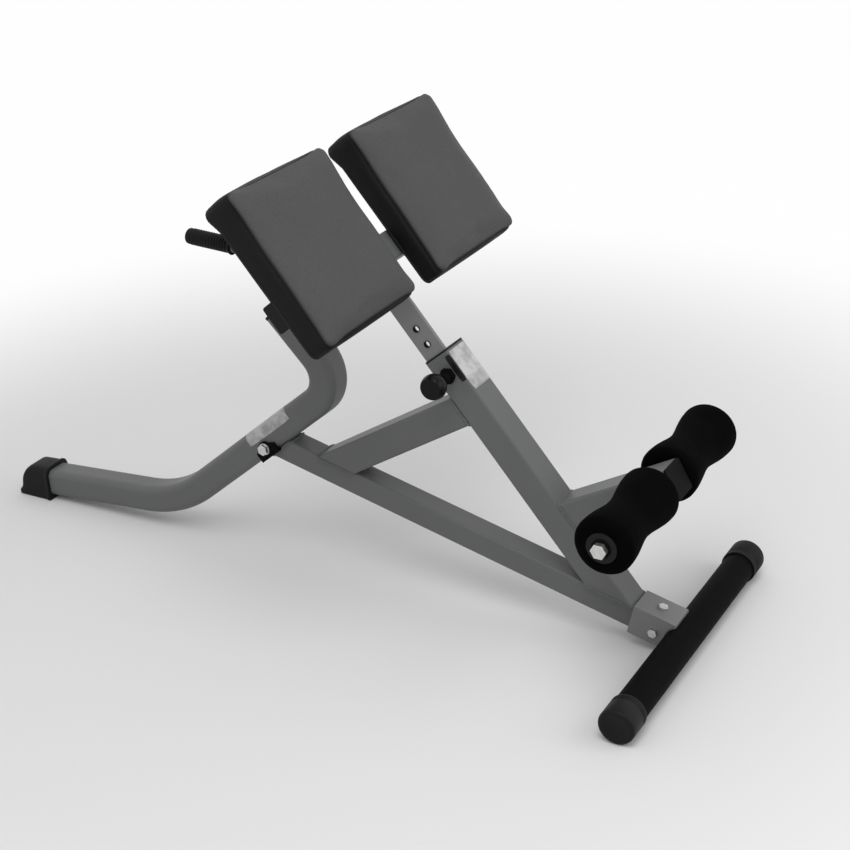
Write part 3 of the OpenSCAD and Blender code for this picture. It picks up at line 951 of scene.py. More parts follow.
class GeometryRecipe:
    """Builds one Geometry Nodes tree with named inputs."""

    def __init__(self, name: str, inputs: dict) -> None:
        """Starts a tree.

        Args:
            name: The tree's name.
            inputs: Socket type of each input after the geometry, by its name.
        """
        self.tree = bpy.data.node_groups.new(name, "GeometryNodeTree")
        face = self.tree.interface
        face.new_socket("Geometry", in_out="INPUT", socket_type="NodeSocketGeometry")
        for label, kind in inputs.items():
            face.new_socket(label, in_out="INPUT", socket_type=kind)
        face.new_socket("Geometry", in_out="OUTPUT", socket_type="NodeSocketGeometry")
        self.given = self.tree.nodes.new("NodeGroupInput").outputs
        self.result = self.tree.nodes.new("NodeGroupOutput")

    def node(self, kind: str, settings: dict, sockets: dict) -> bpy.types.Node:
        """Adds a node.

        Args:
            kind: The node's type.
            settings: Its properties, set before its sockets.
            sockets: Values or sockets for its inputs, by name or index.

        Returns:
            The node.
        """
        made = self.tree.nodes.new(kind)
        for key, value in settings.items():
            setattr(made, key, value)
        for key, value in sockets.items():
            if isinstance(value, bpy.types.NodeSocket):
                self.tree.links.new(value, made.inputs[key])
            else:
                made.inputs[key].default_value = value
        return made

    def math(self, operation: str, first: object, second: object) -> bpy.types.NodeSocket:
        """A Math node on two values.

        Args:
            operation: What it does.
            first: Its first value or socket.
            second: Its second.

        Returns:
            Its result.
        """
        made = self.node("ShaderNodeMath", {"operation": operation}, {0: first, 1: second})
        return made.outputs[0]

    def finish(self, geometry: bpy.types.NodeSocket, material: bpy.types.NodeSocket) -> None:
        """Ends the tree: realizes the instances and sets their material.

        Args:
            geometry: The instances.
            material: The material input.
        """
        real = self.node("GeometryNodeRealizeInstances", {}, {0: geometry}).outputs[0]
        smooth = self.node("GeometryNodeSetShadeSmooth", {}, {"Geometry": real}).outputs[0]
        painted = self.node(
            "GeometryNodeSetMaterial", {}, {"Geometry": smooth, "Material": material}
        ).outputs[0]
        self.tree.links.new(painted, self.result.inputs[0])


def bead_tree() -> bpy.types.NodeTree:
    """Lays beads along the object's own edges: welds, stitches and staples.

    Returns:
        The tree, built once.
    """
    name = "beads_along_path"
    if name in bpy.data.node_groups:
        return bpy.data.node_groups[name]
    made = GeometryRecipe(
        name,
        {
            "Spacing": "NodeSocketFloat",
            "Radius": "NodeSocketFloat",
            "Length": "NodeSocketFloat",
            "Unevenness": "NodeSocketFloat",
            "Seed": "NodeSocketInt",
            "Material": "NodeSocketMaterial",
        },
    )
    given = made.given
    path = made.node("GeometryNodeMeshToCurve", {}, {"Mesh": given["Geometry"]}).outputs[0]
    spots = made.node(
        "GeometryNodeCurveToPoints", {"mode": "LENGTH"}, {"Curve": path, "Length": given["Spacing"]}
    )
    ball = made.node(
        "GeometryNodeMeshUVSphere",
        {},
        {"Segments": 10, "Rings": 6, "Radius": given["Radius"]},
    ).outputs[0]
    stretch = made.math("DIVIDE", given["Length"], made.math("MULTIPLY", given["Radius"], 2.0))
    scale = made.node("ShaderNodeCombineXYZ", {}, {0: 1.0, 1: 1.0, 2: stretch}).outputs[0]
    bead = made.node(
        "GeometryNodeTransform", {}, {"Geometry": ball, "Scale": scale}
    ).outputs[0]
    low = made.math("SUBTRACT", 1.0, given["Unevenness"])
    high = made.math("ADD", 1.0, given["Unevenness"])
    size = made.node(
        "FunctionNodeRandomValue",
        {"data_type": "FLOAT"},
        {2: low, 3: high, "Seed": given["Seed"]},
    ).outputs[1]
    laid = made.node(
        "GeometryNodeInstanceOnPoints",
        {},
        {
            "Points": spots.outputs["Points"],
            "Instance": bead,
            "Rotation": spots.outputs["Rotation"],
            "Scale": size,
        },
    ).outputs[0]
    made.finish(laid, given["Material"])
    return made.tree


def ring_tree() -> bpy.types.NodeTree:
    """Sets rings square to the object's own edges: the ribs of a grip.

    Returns:
        The tree, built once.
    """
    name = "rings_along_path"
    if name in bpy.data.node_groups:
        return bpy.data.node_groups[name]
    made = GeometryRecipe(
        name,
        {
            "Spacing": "NodeSocketFloat",
            "Radius": "NodeSocketFloat",
            "Thickness": "NodeSocketFloat",
            "Material": "NodeSocketMaterial",
        },
    )
    given = made.given
    path = made.node("GeometryNodeMeshToCurve", {}, {"Mesh": given["Geometry"]}).outputs[0]
    spots = made.node(
        "GeometryNodeCurveToPoints", {"mode": "LENGTH"}, {"Curve": path, "Length": given["Spacing"]}
    )
    hoop = made.node(
        "GeometryNodeCurvePrimitiveCircle",
        {"mode": "RADIUS"},
        {"Resolution": 48, "Radius": given["Radius"]},
    ).outputs[0]
    wire = made.node(
        "GeometryNodeCurvePrimitiveCircle",
        {"mode": "RADIUS"},
        {"Resolution": 8, "Radius": given["Thickness"]},
    ).outputs[0]
    rib = made.node(
        "GeometryNodeCurveToMesh", {}, {"Curve": hoop, "Profile Curve": wire}
    ).outputs[0]
    laid = made.node(
        "GeometryNodeInstanceOnPoints",
        {},
        {
            "Points": spots.outputs["Points"],
            "Instance": rib,
            "Rotation": spots.outputs["Rotation"],
        },
    ).outputs[0]
    made.finish(laid, given["Material"])
    return made.tree


def along_path(
    name: str,
    paths: list,
    tree: bpy.types.NodeTree,
    sizes: dict,
    coat: Coat,
    closed: bool = True,
) -> bpy.types.Object:
    """Runs a tree over paths and keeps its result as a plain mesh.

    Args:
        name: The piece's name.
        paths: Lists of points in the row frame.
        tree: The Geometry Nodes tree.
        sizes: The tree's inputs by their names, lengths in metres.
        coat: The finish that the tree sets.
        closed: Whether each path returns to its start.

    Returns:
        The object.
    """
    points, edges = [], []
    for path in paths:
        start = len(points)
        points += [tuple(p) for p in path]
        edges += [(start + i, start + i + 1) for i in range(len(path) - 1)]
        if closed:
            edges.append((start + len(path) - 1, start))
    mesh = bpy.data.meshes.new(name)
    mesh.from_pydata(points, edges, [])
    made = bpy.data.objects.new(name, mesh)
    bpy.context.scene.collection.objects.link(made)
    modifier = made.modifiers.new("along", "NODES")
    modifier.node_group = tree
    values = {**sizes, "Material": coat.material()}
    for item in tree.interface.items_tree:
        if item.in_out == "INPUT" and item.name in values:
            modifier[item.identifier] = values[item.name]
    made.update_tag()
    bpy.context.view_layer.update()
    return settle(made)


def bead_sizes(spacing: float, radius: float, length: float, uneven: float, seed: int) -> dict:
    """The bead tree's inputs.

    Args:
        spacing: From bead to bead, in millimetres.
        radius: A bead's radius.
        length: A bead's length along the path.
        uneven: How much their sizes vary.
        seed: Seed of the variation.

    Returns:
        The inputs by their names.
    """
    return {
        "Spacing": spacing * MM,
        "Radius": radius * MM,
        "Length": length * MM,
        "Unevenness": uneven,
        "Seed": seed,
    }


def announce(
    thing: bpy.types.Object,
    body: str,
    slot: str,
    stands_for: tuple = (),
) -> bpy.types.Object:
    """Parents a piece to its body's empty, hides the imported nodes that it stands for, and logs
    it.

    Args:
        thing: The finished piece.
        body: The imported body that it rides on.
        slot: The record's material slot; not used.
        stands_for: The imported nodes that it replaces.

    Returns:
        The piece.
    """
    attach(thing, body)
    if stands_for:
        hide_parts(*stands_for)
    LOG.info("%s: %d faces on %s", thing.name, len(thing.data.polygons), body)
    return thing


# ---------------------------------------------------------------- pads


@dataclass
class ThighPads:
    """Two crowned cushions on plywood boards, each with a sewn seam, a folded hem and staples."""

    layout: Layout
    width: float = 245.0
    length: float = 260.0
    drop: float = 94.0
    gap: float = 63.0
    low: float = 46.0
    mid: float = 50.0
    high: float = 56.0
    corner: float = 16.0
    roll: float = 10.0
    roll_length: float = 48.0
    rim: float = 13.0
    crown: float = 3.0
    slack: float = 2.2
    voxel: float = 4.0
    swell: float = 5.0
    calm: int = 14
    seam_drop: float = 14.0
    seam_depth: float = 2.4
    seam_width: float = 2.8
    saddle_start: float = 8.0
    saddle_end: float = 0.88
    held_level: float = 9.0
    free_level: float = 17.0
    frames: int = 20
    pressure: float = 4.0
    stitch_lift: float = 4.2
    staple_inset: float = 16.0
    staple_level: float = -1.55
    hem_section: tuple = (
        (4.6, 3.4), (2.6, 2.6), (2.2, -0.4), (3.4, -1.2), (14.0, -1.3), (25.0, -1.2), (26.0, 0.4),
    )

    @property
    def middle(self) -> float:
        """Distance of a pad's middle from the side plane."""
        return (self.gap + self.width) / 2

    @property
    def centre(self) -> float:
        """Place of the pads' middle along the slope."""
        return -self.drop - self.length / 2

    def top(self, t: float) -> float:
        """The saddle of the pad's top: low at its lower end, high at its upper end.

        Args:
            t: Place along the slope.

        Returns:
            Its height over the board's underside.
        """
        s = min(self.saddle_end, max(0.0, (-self.drop - self.saddle_start - t) / self.length))
        if s < 0.5:
            return self.mid + (self.low - self.mid) * (1 + math.cos(2 * math.pi * s)) / 2
        return self.mid + (self.high - self.mid) * (1 - math.cos(2 * math.pi * (s - 0.5))) / 2

    def under(self, t: float) -> float:
        """The pad's underside: flat, with a roll at its upper end.

        Args:
            t: Place along the slope.

        Returns:
            Its height over the board's underside.
        """
        end = -self.drop - self.length
        return -self.roll * smooth_rise(end + self.roll_length - t, 0.0, 0.55 * self.roll_length)

    def seam(self, t: float) -> float:
        """Height of the seam between the top panel and the side band."""
        return self.top(t) - self.seam_drop

    def body(self, slack: float) -> bpy.types.Object:
        """The right cushion's closed form before it is filled.

        Args:
            slack: How much smaller it is all round.

        Returns:
            The form.
        """
        rim = self.rim
        rings = [(70, 0.0, 3.0), (30, 0.0, 2.2), (9, 0.0, -0.6), (3.4, 0.0, -0.8), (0.2, 0.0, 2.5)]
        rings += [(0.0, 0.0, 9.0)]
        rings += [(-0.6, share, 0.0) for share in (0.35, 0.55)]
        for turn in (0, 18, 36, 54, 72, 90):
            a = math.radians(turn)
            rings.append((rim * (1 - math.cos(a)), 1.0, -rim + rim * math.sin(a)))
        crown = ((30, 0.35), (48, 0.62), (72, 0.85), (96, 0.97), (115, 1.0))
        rings += [(inset, 1.0, lift) for inset, lift in crown]
        made = []
        for inset, share, lift in rings:
            ring = []
            for x, y in outline(self.length, self.width, self.corner, inset + slack):
                t = self.centre + x
                top, under = self.top(t) - slack, self.under(t)
                if share == 0.0:
                    n = under + lift
                elif inset > rim + 1:
                    n = top + self.crown * lift
                elif share == 1.0:
                    n = top + lift
                else:
                    n = under + (top - under) * share
                ring.append(self.layout.slope.at(t, self.middle + y, self.layout.pad_base + n))
            made.append(ring)
        return loft("pad_form", made, Coat.HIDE)

    def remesh(self, thing: bpy.types.Object, rounds: int) -> bpy.types.Object:
        """Gives the form even quads and relaxes them.

        Args:
            thing: The form.
            rounds: How often they are relaxed.

        Returns:
            The same object.
        """
        even = thing.modifiers.new("even", "REMESH")
        even.mode = "VOXEL"
        even.voxel_size = self.voxel * MM
        if rounds:
            relax = thing.modifiers.new("relax", "SMOOTH")
            relax.factor = 0.5
            relax.iterations = rounds
        return settle(thing)

    def fill(self, thing: bpy.types.Object) -> None:
        """Blows the cover up with cloth pressure, then caps and evens out its moves.

        Args:
            thing: The right cover, held at its board.
        """
        rest = [v.co.copy() for v in thing.data.vertices]
        place = self.layout.slope.matrix().inverted()
        base = self.layout.pad_base
        held = thing.vertex_groups.new(name="held")
        for i, point in enumerate(rest):
            local = place @ point / MM
            above = local.z - base - self.under(local.x)
            grip = 1.0 - smooth_rise(above, self.held_level, self.free_level)
            held.add([i], grip, "REPLACE")
        cloth = thing.modifiers.new("filling", "CLOTH")
        hide = {
            "quality": 6,
            "mass": 0.3,
            "tension_stiffness": 12,
            "compression_stiffness": 12,
            "shear_stiffness": 5,
            "bending_stiffness": 2.0,
            "use_pressure": True,
            "uniform_pressure_force": self.pressure,
            "vertex_group_mass": held.name,
        }
        for key, value in hide.items():
            setattr(cloth.settings, key, value)
        cloth.settings.effector_weights.gravity = 0.0
        cloth.collision_settings.use_collision = False
        cloth.point_cache.frame_start = 1
        cloth.point_cache.frame_end = self.frames
        scene = bpy.context.scene
        for step in range(1, self.frames + 1):
            scene.frame_set(step)
        settle(thing)
        scene.frame_set(1)
        thing.vertex_groups.clear()
        moves = [v.co - point for v, point in zip(thing.data.vertices, rest)]
        cap = self.swell * MM
        moves = [m * min(1.0, cap / max(m.length, cap)) for m in moves]
        near = [[] for _ in moves]
        for edge in thing.data.edges:
            a, b = edge.vertices
            near[a].append(b)
            near[b].append(a)
        for _ in range(self.calm):
            moves = [
                (m + sum((moves[j] for j in ring), Vector())) / (len(ring) + 1)
                for m, ring in zip(moves, near)
            ]
        for vertex, point, move in zip(thing.data.vertices, rest, moves):
            vertex.co = point + move

    def sew(self, thing: bpy.types.Object) -> None:
        """Draws the seam in round the sides and gathers the cover at the corners.

        Args:
            thing: The right cover, which also gets the masks of its painted side shade and of its
                seam line's dirt and painted shade.
        """
        place = self.layout.slope.matrix()
        back = place.inverted()
        base = self.layout.pad_base
        half_l, half_w = self.length / 2, self.width / 2
        mesh = thing.data
        normals = [v.normal.copy() for v in mesh.vertices]
        side_shade = mesh.attributes.new("side_band", "FLOAT", "POINT")
        line = mesh.attributes.new("seam_line", "FLOAT", "POINT")
        for vertex, normal in zip(mesh.vertices, normals):
            local = back @ vertex.co / MM
            x, y = local.x - self.centre, local.y - self.middle
            n = local.z - base
            edge = max(abs(x) - half_l, abs(y) - half_w)
            if edge < -self.corner:
                continue
            above = n - self.seam(local.x)
            push = self.seam_depth * math.exp(-((above / self.seam_width) ** 2))
            push -= 0.5 * math.exp(-(((above - 5.5) / 2.2) ** 2))
            # masks: painted shade on the sides below the seam, and dirt and painted shade along the
            # seam line
            side_shade.data[vertex.index].value = 1.0 - smooth_rise(above, -2.0, 1.5)
            line.data[vertex.index].value = math.exp(-((above / 4.0) ** 2))
            near = Vector((abs(x) - half_l + self.corner, abs(y) - half_w + self.corner))
            if near.x > 0 and near.y > 0 and above < 0:
                turn = math.atan2(near.y, near.x)
                fade = math.sin(2 * turn) * smooth_rise(-above, 0.0, 14.0)
                push += 0.45 * fade * math.sin(14 * turn)
            vertex.co -= normal * push * MM

    def seam_path(self, thing: bpy.types.Object, side: Side, lift: float) -> list:
        """Follows the finished cover round its sides.

        Args:
            thing: The cover.
            side: Its side.
            lift: Height above the seam.

        Returns:
            Points just outside the cover.
        """
        graph = bpy.context.evaluated_depsgraph_get()
        tree = BVHTree.FromObject(thing, graph)
        slope = self.layout.slope
        base = self.layout.pad_base
        points = []
        outer = outline(self.length, self.width, self.corner, -18.0, 14)
        inner = outline(self.length, self.width, self.corner, 20.0, 14)
        for (x0, y0), (x1, y1) in zip(outer, inner):
            height = base + self.seam(self.centre + x0) + lift
            start = slope.at(self.centre + x0, side.value * (self.middle + y0), height)
            stop = slope.at(self.centre + x1, side.value * (self.middle + y1), height)
            hit = tree.ray_cast(start, (stop - start).normalized())
            if hit[0] is not None:
                points.append(hit[0] + hit[1] * 0.1 * MM)
        return points

    def hem(self, side: Side) -> bpy.types.Object:
        """The cover's edge folded under the board.

        Args:
            side: The pad's side.

        Returns:
            The hem, closed all round.
        """
        slope, base = self.layout.slope, self.layout.pad_base
        rings = []
        for inset, level in self.hem_section:
            ring = []
            for x, y in outline(self.length, self.width, self.corner, inset):
                wave = noise.noise(Vector((x, y, 3.0 * side.value)) * 0.05)
                wander = 1.0 + 0.012 * wave * (inset > 20)
                ring.append(
                    slope.at(
                        self.centre + x * wander,
                        side.value * (self.middle + y * wander),
                        base + level + 0.35 * wave * (level < 0),
                    )
                )
            rings.append(ring)
        return loft(f"{side.word}_pad_hem", rings, Coat.HEM, ends=False)

    def staples(self, side: Side) -> bpy.types.Object:
        """Wire staples through the hem.

        Args:
            side: The pad's side.

        Returns:
            The staples as one piece.
        """
        level = self.layout.pad_base + self.staple_level
        path = [
            self.layout.slope.at(self.centre + x, side.value * (self.middle + y), level)
            for x, y in outline(self.length, self.width, self.corner, self.staple_inset)
        ]
        return along_path(
            f"{side.word}_pad_staples",
            [path],
            bead_tree(),
            bead_sizes(23.0, 0.75, 11.0, 0.0, 1),
            Coat.ZINC,
        )

    def mirrored(self, thing: bpy.types.Object, name: str) -> bpy.types.Object:
        """Mirrors the right cover.

        Args:
            thing: The right cover.
            name: The copy's name.

        Returns:
            The left cover.
        """
        mesh = thing.data.copy()
        mesh.transform(Matrix.Scale(-1, 4, Vector((0, 1, 0))))
        mesh.flip_normals()
        made = bpy.data.objects.new(name, mesh)
        bpy.context.scene.collection.objects.link(made)
        return made

    def build(self) -> None:
        """Builds both pads and their trim."""
        right = self.remesh(self.body(self.slack), 1)
        self.fill(right)
        fine = right.modifiers.new("fine", "SUBSURF")
        fine.levels = fine.render_levels = 1
        settle(right)
        right.data.polygons.foreach_set("use_smooth", [True] * len(right.data.polygons))
        self.sew(right)
        right.name = "right_pad_cover"
        left = self.mirrored(right, "left_pad_cover")
        for side, cover in ((Side.LEFT, left), (Side.RIGHT, right)):
            word = side.word
            stitches = along_path(
                f"{word}_pad_stitches",
                [self.seam_path(cover, side, self.stitch_lift)],
                bead_tree(),
                bead_sizes(5.5, 0.42, 3.8, 0.06, 5),
                Coat.THREAD,
            )
            announce(cover, "pad_carriage", "pad_cover", (f"{word}_pad",))
            announce(stitches, "pad_carriage", "pad_cover")
            announce(self.hem(side), "pad_carriage", "pad_cover")
            announce(self.staples(side), "pad_carriage", "zinc")


# ---------------------------------------------------------------- rollers and grips


@dataclass
class AnkleRollers:
    """Waisted foam rollers on the axle."""

    layout: Layout
    full: float = 45.0
    waist: float = 36.0
    length: float = 170.0
    start: float = 28.0
    bore: float = 14.1
    round: float = 10.0
    dent: float = 0.55
    pock: float = 0.16

    def profile(self) -> list:
        """The foam's closed section.

        Returns:
            Its points as (radius, height).
        """
        r, length = self.round, self.length
        core = self.full - r
        made = [(self.bore, 0.9), (24.0, 0.6)]
        made += arc(core, r, r, -90, 0, 12)
        span = length - 2 * r
        for share in (i / 56 for i in range(1, 56)):
            draw = (self.full - self.waist) * (1 - math.cos(2 * math.pi * share)) / 2
            made.append((self.full - draw, r + share * span))
        made += arc(core, length - r, r, 0, 90, 12)
        made += [(24.0, length - 0.5), (self.bore, length - 1.2)]
        return made

    def build(self) -> None:
        """Builds both rollers."""
        axle = self.layout.arm
        for side in Side:
            turn = Matrix.Rotation(math.radians(-90 * side.value), 4, "X")
            place = Matrix.Translation(Vector((axle.x, 0, axle.z)) * MM) @ turn
            place = place @ Matrix.Translation((0, 0, self.start * MM))
            foam = lathe(
                f"{side.word}_roller_foam", self.profile(), place, Coat.FOAM, 128, ends=False
            )
            for vertex in foam.data.vertices:
                out = vertex.normal
                wide = noise.noise(vertex.co * 22 + Vector((side.value * 3.0, 0, 0)))
                small = noise.noise(vertex.co * 130)
                vertex.co += out * (wide * self.dent + small * self.pock) * MM
            word = side.word
            announce(foam, f"{word}_roller", "foam", (f"{word}_foam_roller",))


@dataclass
class HandGrips:
    """Ribbed rubber grips on the two handles."""

    layout: Layout
    tube: float = 19.0
    wall: float = 2.0
    rise: float = 84.0
    radius: float = 38.0
    reach: float = 75.0
    level: float = 4.0
    ribs: float = 4.6

    def axis(self, side: Side) -> Matrix:
        """The grip's frame.

        Args:
            side: The grip's side.

        Returns:
            Its origin at the end of the handle's bend, with +Z along the grip.
        """
        turn = self.layout.slope_deg - self.level
        a = math.radians(turn)
        straight = self.rise - self.radius * math.tan(a / 2)
        t = -self.layout.cross_drop - self.layout.cross_w / 2 - straight
        t -= self.radius * math.sin(a)
        n = self.layout.cross_level - self.radius * (1 - math.cos(a))
        y = side.value * self.layout.handle_y
        point = self.layout.slope.at(t, y, n)
        ahead = self.layout.slope.at(t - math.cos(a), y, n - math.sin(a))
        turned = (ahead - point).to_track_quat("Z", "Y").to_matrix().to_4x4()
        return Matrix.Translation(point) @ turned

    def build(self) -> None:
        """Builds both grips."""
        r = self.tube / 2 + self.wall
        bore = self.tube / 2 + 0.1
        flange = arc(r + 0.4, 1.6, 1.6, -90, 90, 6)
        dome = arc(r - 3.2, self.reach + 0.4, 3.2, 0, 90, 6)
        profile = [(bore, 0.0), *flange, (r, 3.4), (r, self.reach), *dome, (3.0, self.reach + 3.9)]
        profile += [(0.6, self.reach + 4.0), (0.6, self.reach + 0.5), (bore, self.reach + 0.5)]
        for side in Side:
            place = self.axis(side)
            word = side.word
            grip = lathe(f"{word}_hand_grip", profile, place, Coat.GRIP, 48, ends=False)
            path = [place @ Vector((0, 0, h * MM)) for h in (9.0, self.reach - 6.0)]
            ribs = along_path(
                f"{word}_grip_ribs",
                [path],
                ring_tree(),
                {"Spacing": self.ribs * MM, "Radius": r * MM, "Thickness": 0.55 * MM},
                Coat.GRIP,
                closed=False,
            )
            announce(grip, "pad_carriage", "rubber", (f"{word}_grip",))
            announce(ribs, "pad_carriage", "rubber")


# ---------------------------------------------------------------- feet


@dataclass
class FloorFittings:
    """The moulded foot cap at the front and the rubber cups on the rear crossbar."""

    layout: Layout
    front_x: float = -669.0
    cap_length: float = 76.0
    cap_tilt: float = 3.8
    toe: float = 30.0
    ridge: float = 1.7
    bar_length: float = 518.0
    cup_r: float = 28.0
    cup_depth: float = 46.0
    bar_r: float = 25.0
    cap_height: float = 60.0
    rim_band: float = 7.4
    cap_levels: tuple = (
        (0.0, 1.6, 28.4), (1.4, 0.2, 29.8), (6.5, 0.0, 30.0), (9.5, 1.8, 29.6),
        (13.0, 5.2, 29.1), (19.0, 7.4, 28.9), (31.0, 9.4, 28.8), (40.0, 13.0, 28.6),
        (48.0, 18.2, 27.8), (53.5, 22.8, 26.0), (57.0, 27.0, 23.2), (59.0, 31.0, 19.4),
        (59.7, 36.0, 14.0), (59.9, 44.0, 7.0), (60.0, 52.0, 0.6),
    )

    def cap_ring(self, z: float, front: float, half: float) -> list:
        """One level of the foot cap: its outline in plan, with a ridge round the rear rim.

        Args:
            z: The level's height.
            front: How far its front is set back.
            half: Half its width.

        Returns:
            Its points in the row frame.
        """
        end, r = self.cap_length, min(7.0, 0.6 * half)
        marks = [end, end - 1.0, end - 5.0, end - 6.6, end - self.rim_band]
        run = end - self.rim_band - front - r
        marks += [end - self.rim_band - run * i / 8 for i in range(1, 9)]
        side = [(x, half) for x in marks]
        side += arc(front + r, half - r, r, 90, 180, 8)[1:]
        ring = []
        for x, y in side + [(x, -y) for x, y in reversed(side)]:
            swell = self.ridge * smooth_rise(x, end - self.rim_band, end - 5.8)
            swell -= 0.8 * smooth_rise(x, end - 1.2, end)
            lift = max(0.0, x - self.toe) * math.tan(math.radians(self.cap_tilt)) + swell
            wide = math.copysign(swell, y) * min(1.0, half / 10.0)
            rise = lift * (z / self.cap_height) ** 2
            point = Vector((self.front_x + x, y + wide, z + rise))
            ring.append(point * MM)
        return ring

    def foot_cap(self) -> bpy.types.Object:
        """The cap: a flared toe, rounded shoulders and a raised ridge at its rear rim.

        Returns:
            The closed cap.
        """
        rings = [self.cap_ring(*level) for level in self.cap_levels]
        cap = loft("foot_cap", rings, Coat.RUBBER)
        soft = cap.modifiers.new("edges", "BEVEL")
        soft.width = 0.7 * MM
        soft.segments = 2
        soft.limit_method = "ANGLE"
        soft.angle_limit = math.radians(35)
        return settle(cap)

    def cup(self, side: Side) -> bpy.types.Object:
        """A rubber cup with a soft rim and two shallow grooves.

        Args:
            side: The crossbar's end.

        Returns:
            The closed cup.
        """
        end, r, depth = self.bar_length / 2, self.cup_r, self.cup_depth
        start = end - depth
        profile = [(self.bar_r + 0.1, start)]
        profile += [(r - 1.2, start), (r - 0.3, start + 0.4), (r, start + 1.4), (r, start + 5.0)]
        for groove in (7.0, 11.0):
            profile += [(r, start + groove - 1.2), (r - 0.7, start + groove - 0.5)]
            profile += [(r - 0.7, start + groove + 0.5), (r, start + groove + 1.2)]
        profile += arc(r - 5.0, end - 5.0, 5.0, 0, 80, 8)
        profile += [(r - 9.0, end + 0.0), (r - 10.5, end - 0.9), (6.0, end - 1.3), (0.4, end - 1.3)]
        profile += [(0.4, end - 3.0), (self.bar_r + 0.1, end - 3.0)]
        bar = Vector((self.layout.crossbar_x, 0, self.layout.crossbar_z))
        place = Matrix.Translation(bar * MM)
        place = place @ Matrix.Rotation(math.radians(-90 * side.value), 4, "X")
        return lathe(f"{side.word}_crossbar_cup", profile, place, Coat.RUBBER, 72, ends=False)

    def build(self) -> None:
        """Builds the foot cap and both cups."""
        announce(self.foot_cap(), "base_frame", "rubber", ("front_foot_cap",))
        for side in Side:
            announce(self.cup(side), "base_frame", "rubber", (f"{side.word}_crossbar_cap",))


# ---------------------------------------------------------------- welds and labels


def tube_skin(size: float, corner: float, along: float) -> tuple:
    """A point of a square tube's outside and its normal, both as (y, z).

    Args:
        size: The tube's outer side.
        corner: Its outer corner radius.
        along: Distance round the section from the middle of the top face, positive to +Y.

    Returns:
        The point and the normal.
    """
    flat, quarter = size / 2 - corner, math.pi * corner / 2
    way, sign = abs(along), 1 if along >= 0 else -1
    if way <= flat:
        point, normal = (way, size / 2), (0.0, 1.0)
    elif way <= flat + quarter:
        a = (way - flat) / corner
        point = (flat + corner * math.sin(a), flat + corner * math.cos(a))
        normal = (math.sin(a), math.cos(a))
    else:
        point, normal = (size / 2, flat - (way - flat - quarter)), (1.0, 0.0)
    return (sign * point[0], point[1]), (sign * normal[0], normal[1])


@dataclass
class Welds:
    """Beads where the tubes meet, painted with the frame."""

    layout: Layout
    spacing: float = 2.6
    radius: float = 2.3
    stretch: float = 4.4
    bracket_half: float = 25.1
    bracket_rise: float = 20.7
    bar_r: float = 25.3
    plate_y: float = 154.0
    post_y: float = -19.3
    post_top: float = 18.0

    def foot(self, tube: Place, size: float, corner: float, face: Place, level: float) -> list:
        """Where a square tube's outside meets a flat face.

        Args:
            tube: The frame of the tube that ends, with +X along it.
            size: Its outer side.
            corner: Its outer corner radius.
            face: The frame of the tube that it meets.
            level: Height of the flat face in that frame.

        Returns:
            The loop's points in the row frame.
        """
        origin = face.at(0, 0, level)
        normal = face.matrix().to_3x3() @ Vector((0, 0, 1))
        ahead = tube.matrix().to_3x3() @ Vector((1, 0, 0))
        loop = []
        for y, z in outline(size, size, corner, 0.0, 4):
            point = tube.at(0, y, z)
            reach = (origin - point).dot(normal) / ahead.dot(normal)
            loop.append(point + ahead * reach)
        return loop

    def frame_paths(self) -> list:
        """The loops on the fixed frame.

        Returns:
            Lists of points in the row frame.
        """
        lay = self.layout
        main, corner = lay.main_w, lay.main_corner
        upright = lay.slope.moved(lay.upright_length)
        return [
            self.foot(upright, main, corner, lay.base, lay.base_w / 2),
            self.foot(lay.strut, main, corner, lay.base, lay.base_w / 2),
            self.foot(lay.strut, main, corner, lay.slope, -main / 2),
            self.foot(lay.arm, main, corner, lay.slope, main / 2),
            self.foot(lay.base, lay.base_w, lay.small_corner, lay.leg, -lay.leg_w / 2 - 4.1),
            self.bracket_path(),
        ]

    def bracket_path(self) -> list:
        """The loop where the rear bracket is welded to the crossbar.

        Returns:
            Its points in the row frame.
        """
        half, bar = self.bracket_half, self.bar_r
        limit = math.degrees(math.asin(self.bracket_rise / bar))
        loop = []
        for side, angles in ((-1, (180 - limit, 180 + limit)), (1, (180 + limit, 180 - limit))):
            for x, z in arc(0, 0, bar, angles[0], angles[1], 12):
                loop.append(self.layout.base.at(x, side * half, z))
        return loop

    def carriage_paths(self) -> list:
        """The loops on the pad carrier.

        Returns:
            Lists of points in the row frame.
        """
        lay = self.layout
        level, reach = lay.cross_level, lay.cross_w / 2
        low, high = -lay.cross_drop + reach, -lay.cross_drop - reach
        post = [
            lay.slope.at(low, self.post_y + y, min(self.post_top, z))
            for y, z in outline(6.0, 43.0, 1.5, 0.0, 3)
            if z < level + reach
        ]
        loops = [post]
        for side in Side:
            ring = [
                lay.slope.at(high, side.value * lay.handle_y + y, level + z)
                for y, z in arc(0, 0, 9.6, 0, 345, 23)
            ]
            loops.append(ring)
            pad_y = side.value * self.plate_y
            corners = ((low - 1, -20.0), (low - 1, 20.0), (high + 1, 20.0), (high + 1, -20.0))
            plate = lay.pad_base - lay.plate_t
            loops.append([lay.slope.at(t, pad_y + y, plate) for t, y in corners])
        return loops

    def build(self) -> None:
        """Builds the beads on both bodies."""
        sizes = bead_sizes(self.spacing, self.radius, self.stretch, 0.14, 11)
        fixed = along_path("frame_welds", self.frame_paths(), bead_tree(), sizes, Coat.WELD)
        announce(fixed, "base_frame", "frame_paint")
        small = bead_sizes(2.1, 1.7, 3.4, 0.14, 12)
        moving = along_path("carriage_welds", self.carriage_paths(), bead_tree(), small, Coat.WELD)
        announce(moving, "pad_carriage", "frame_paint")


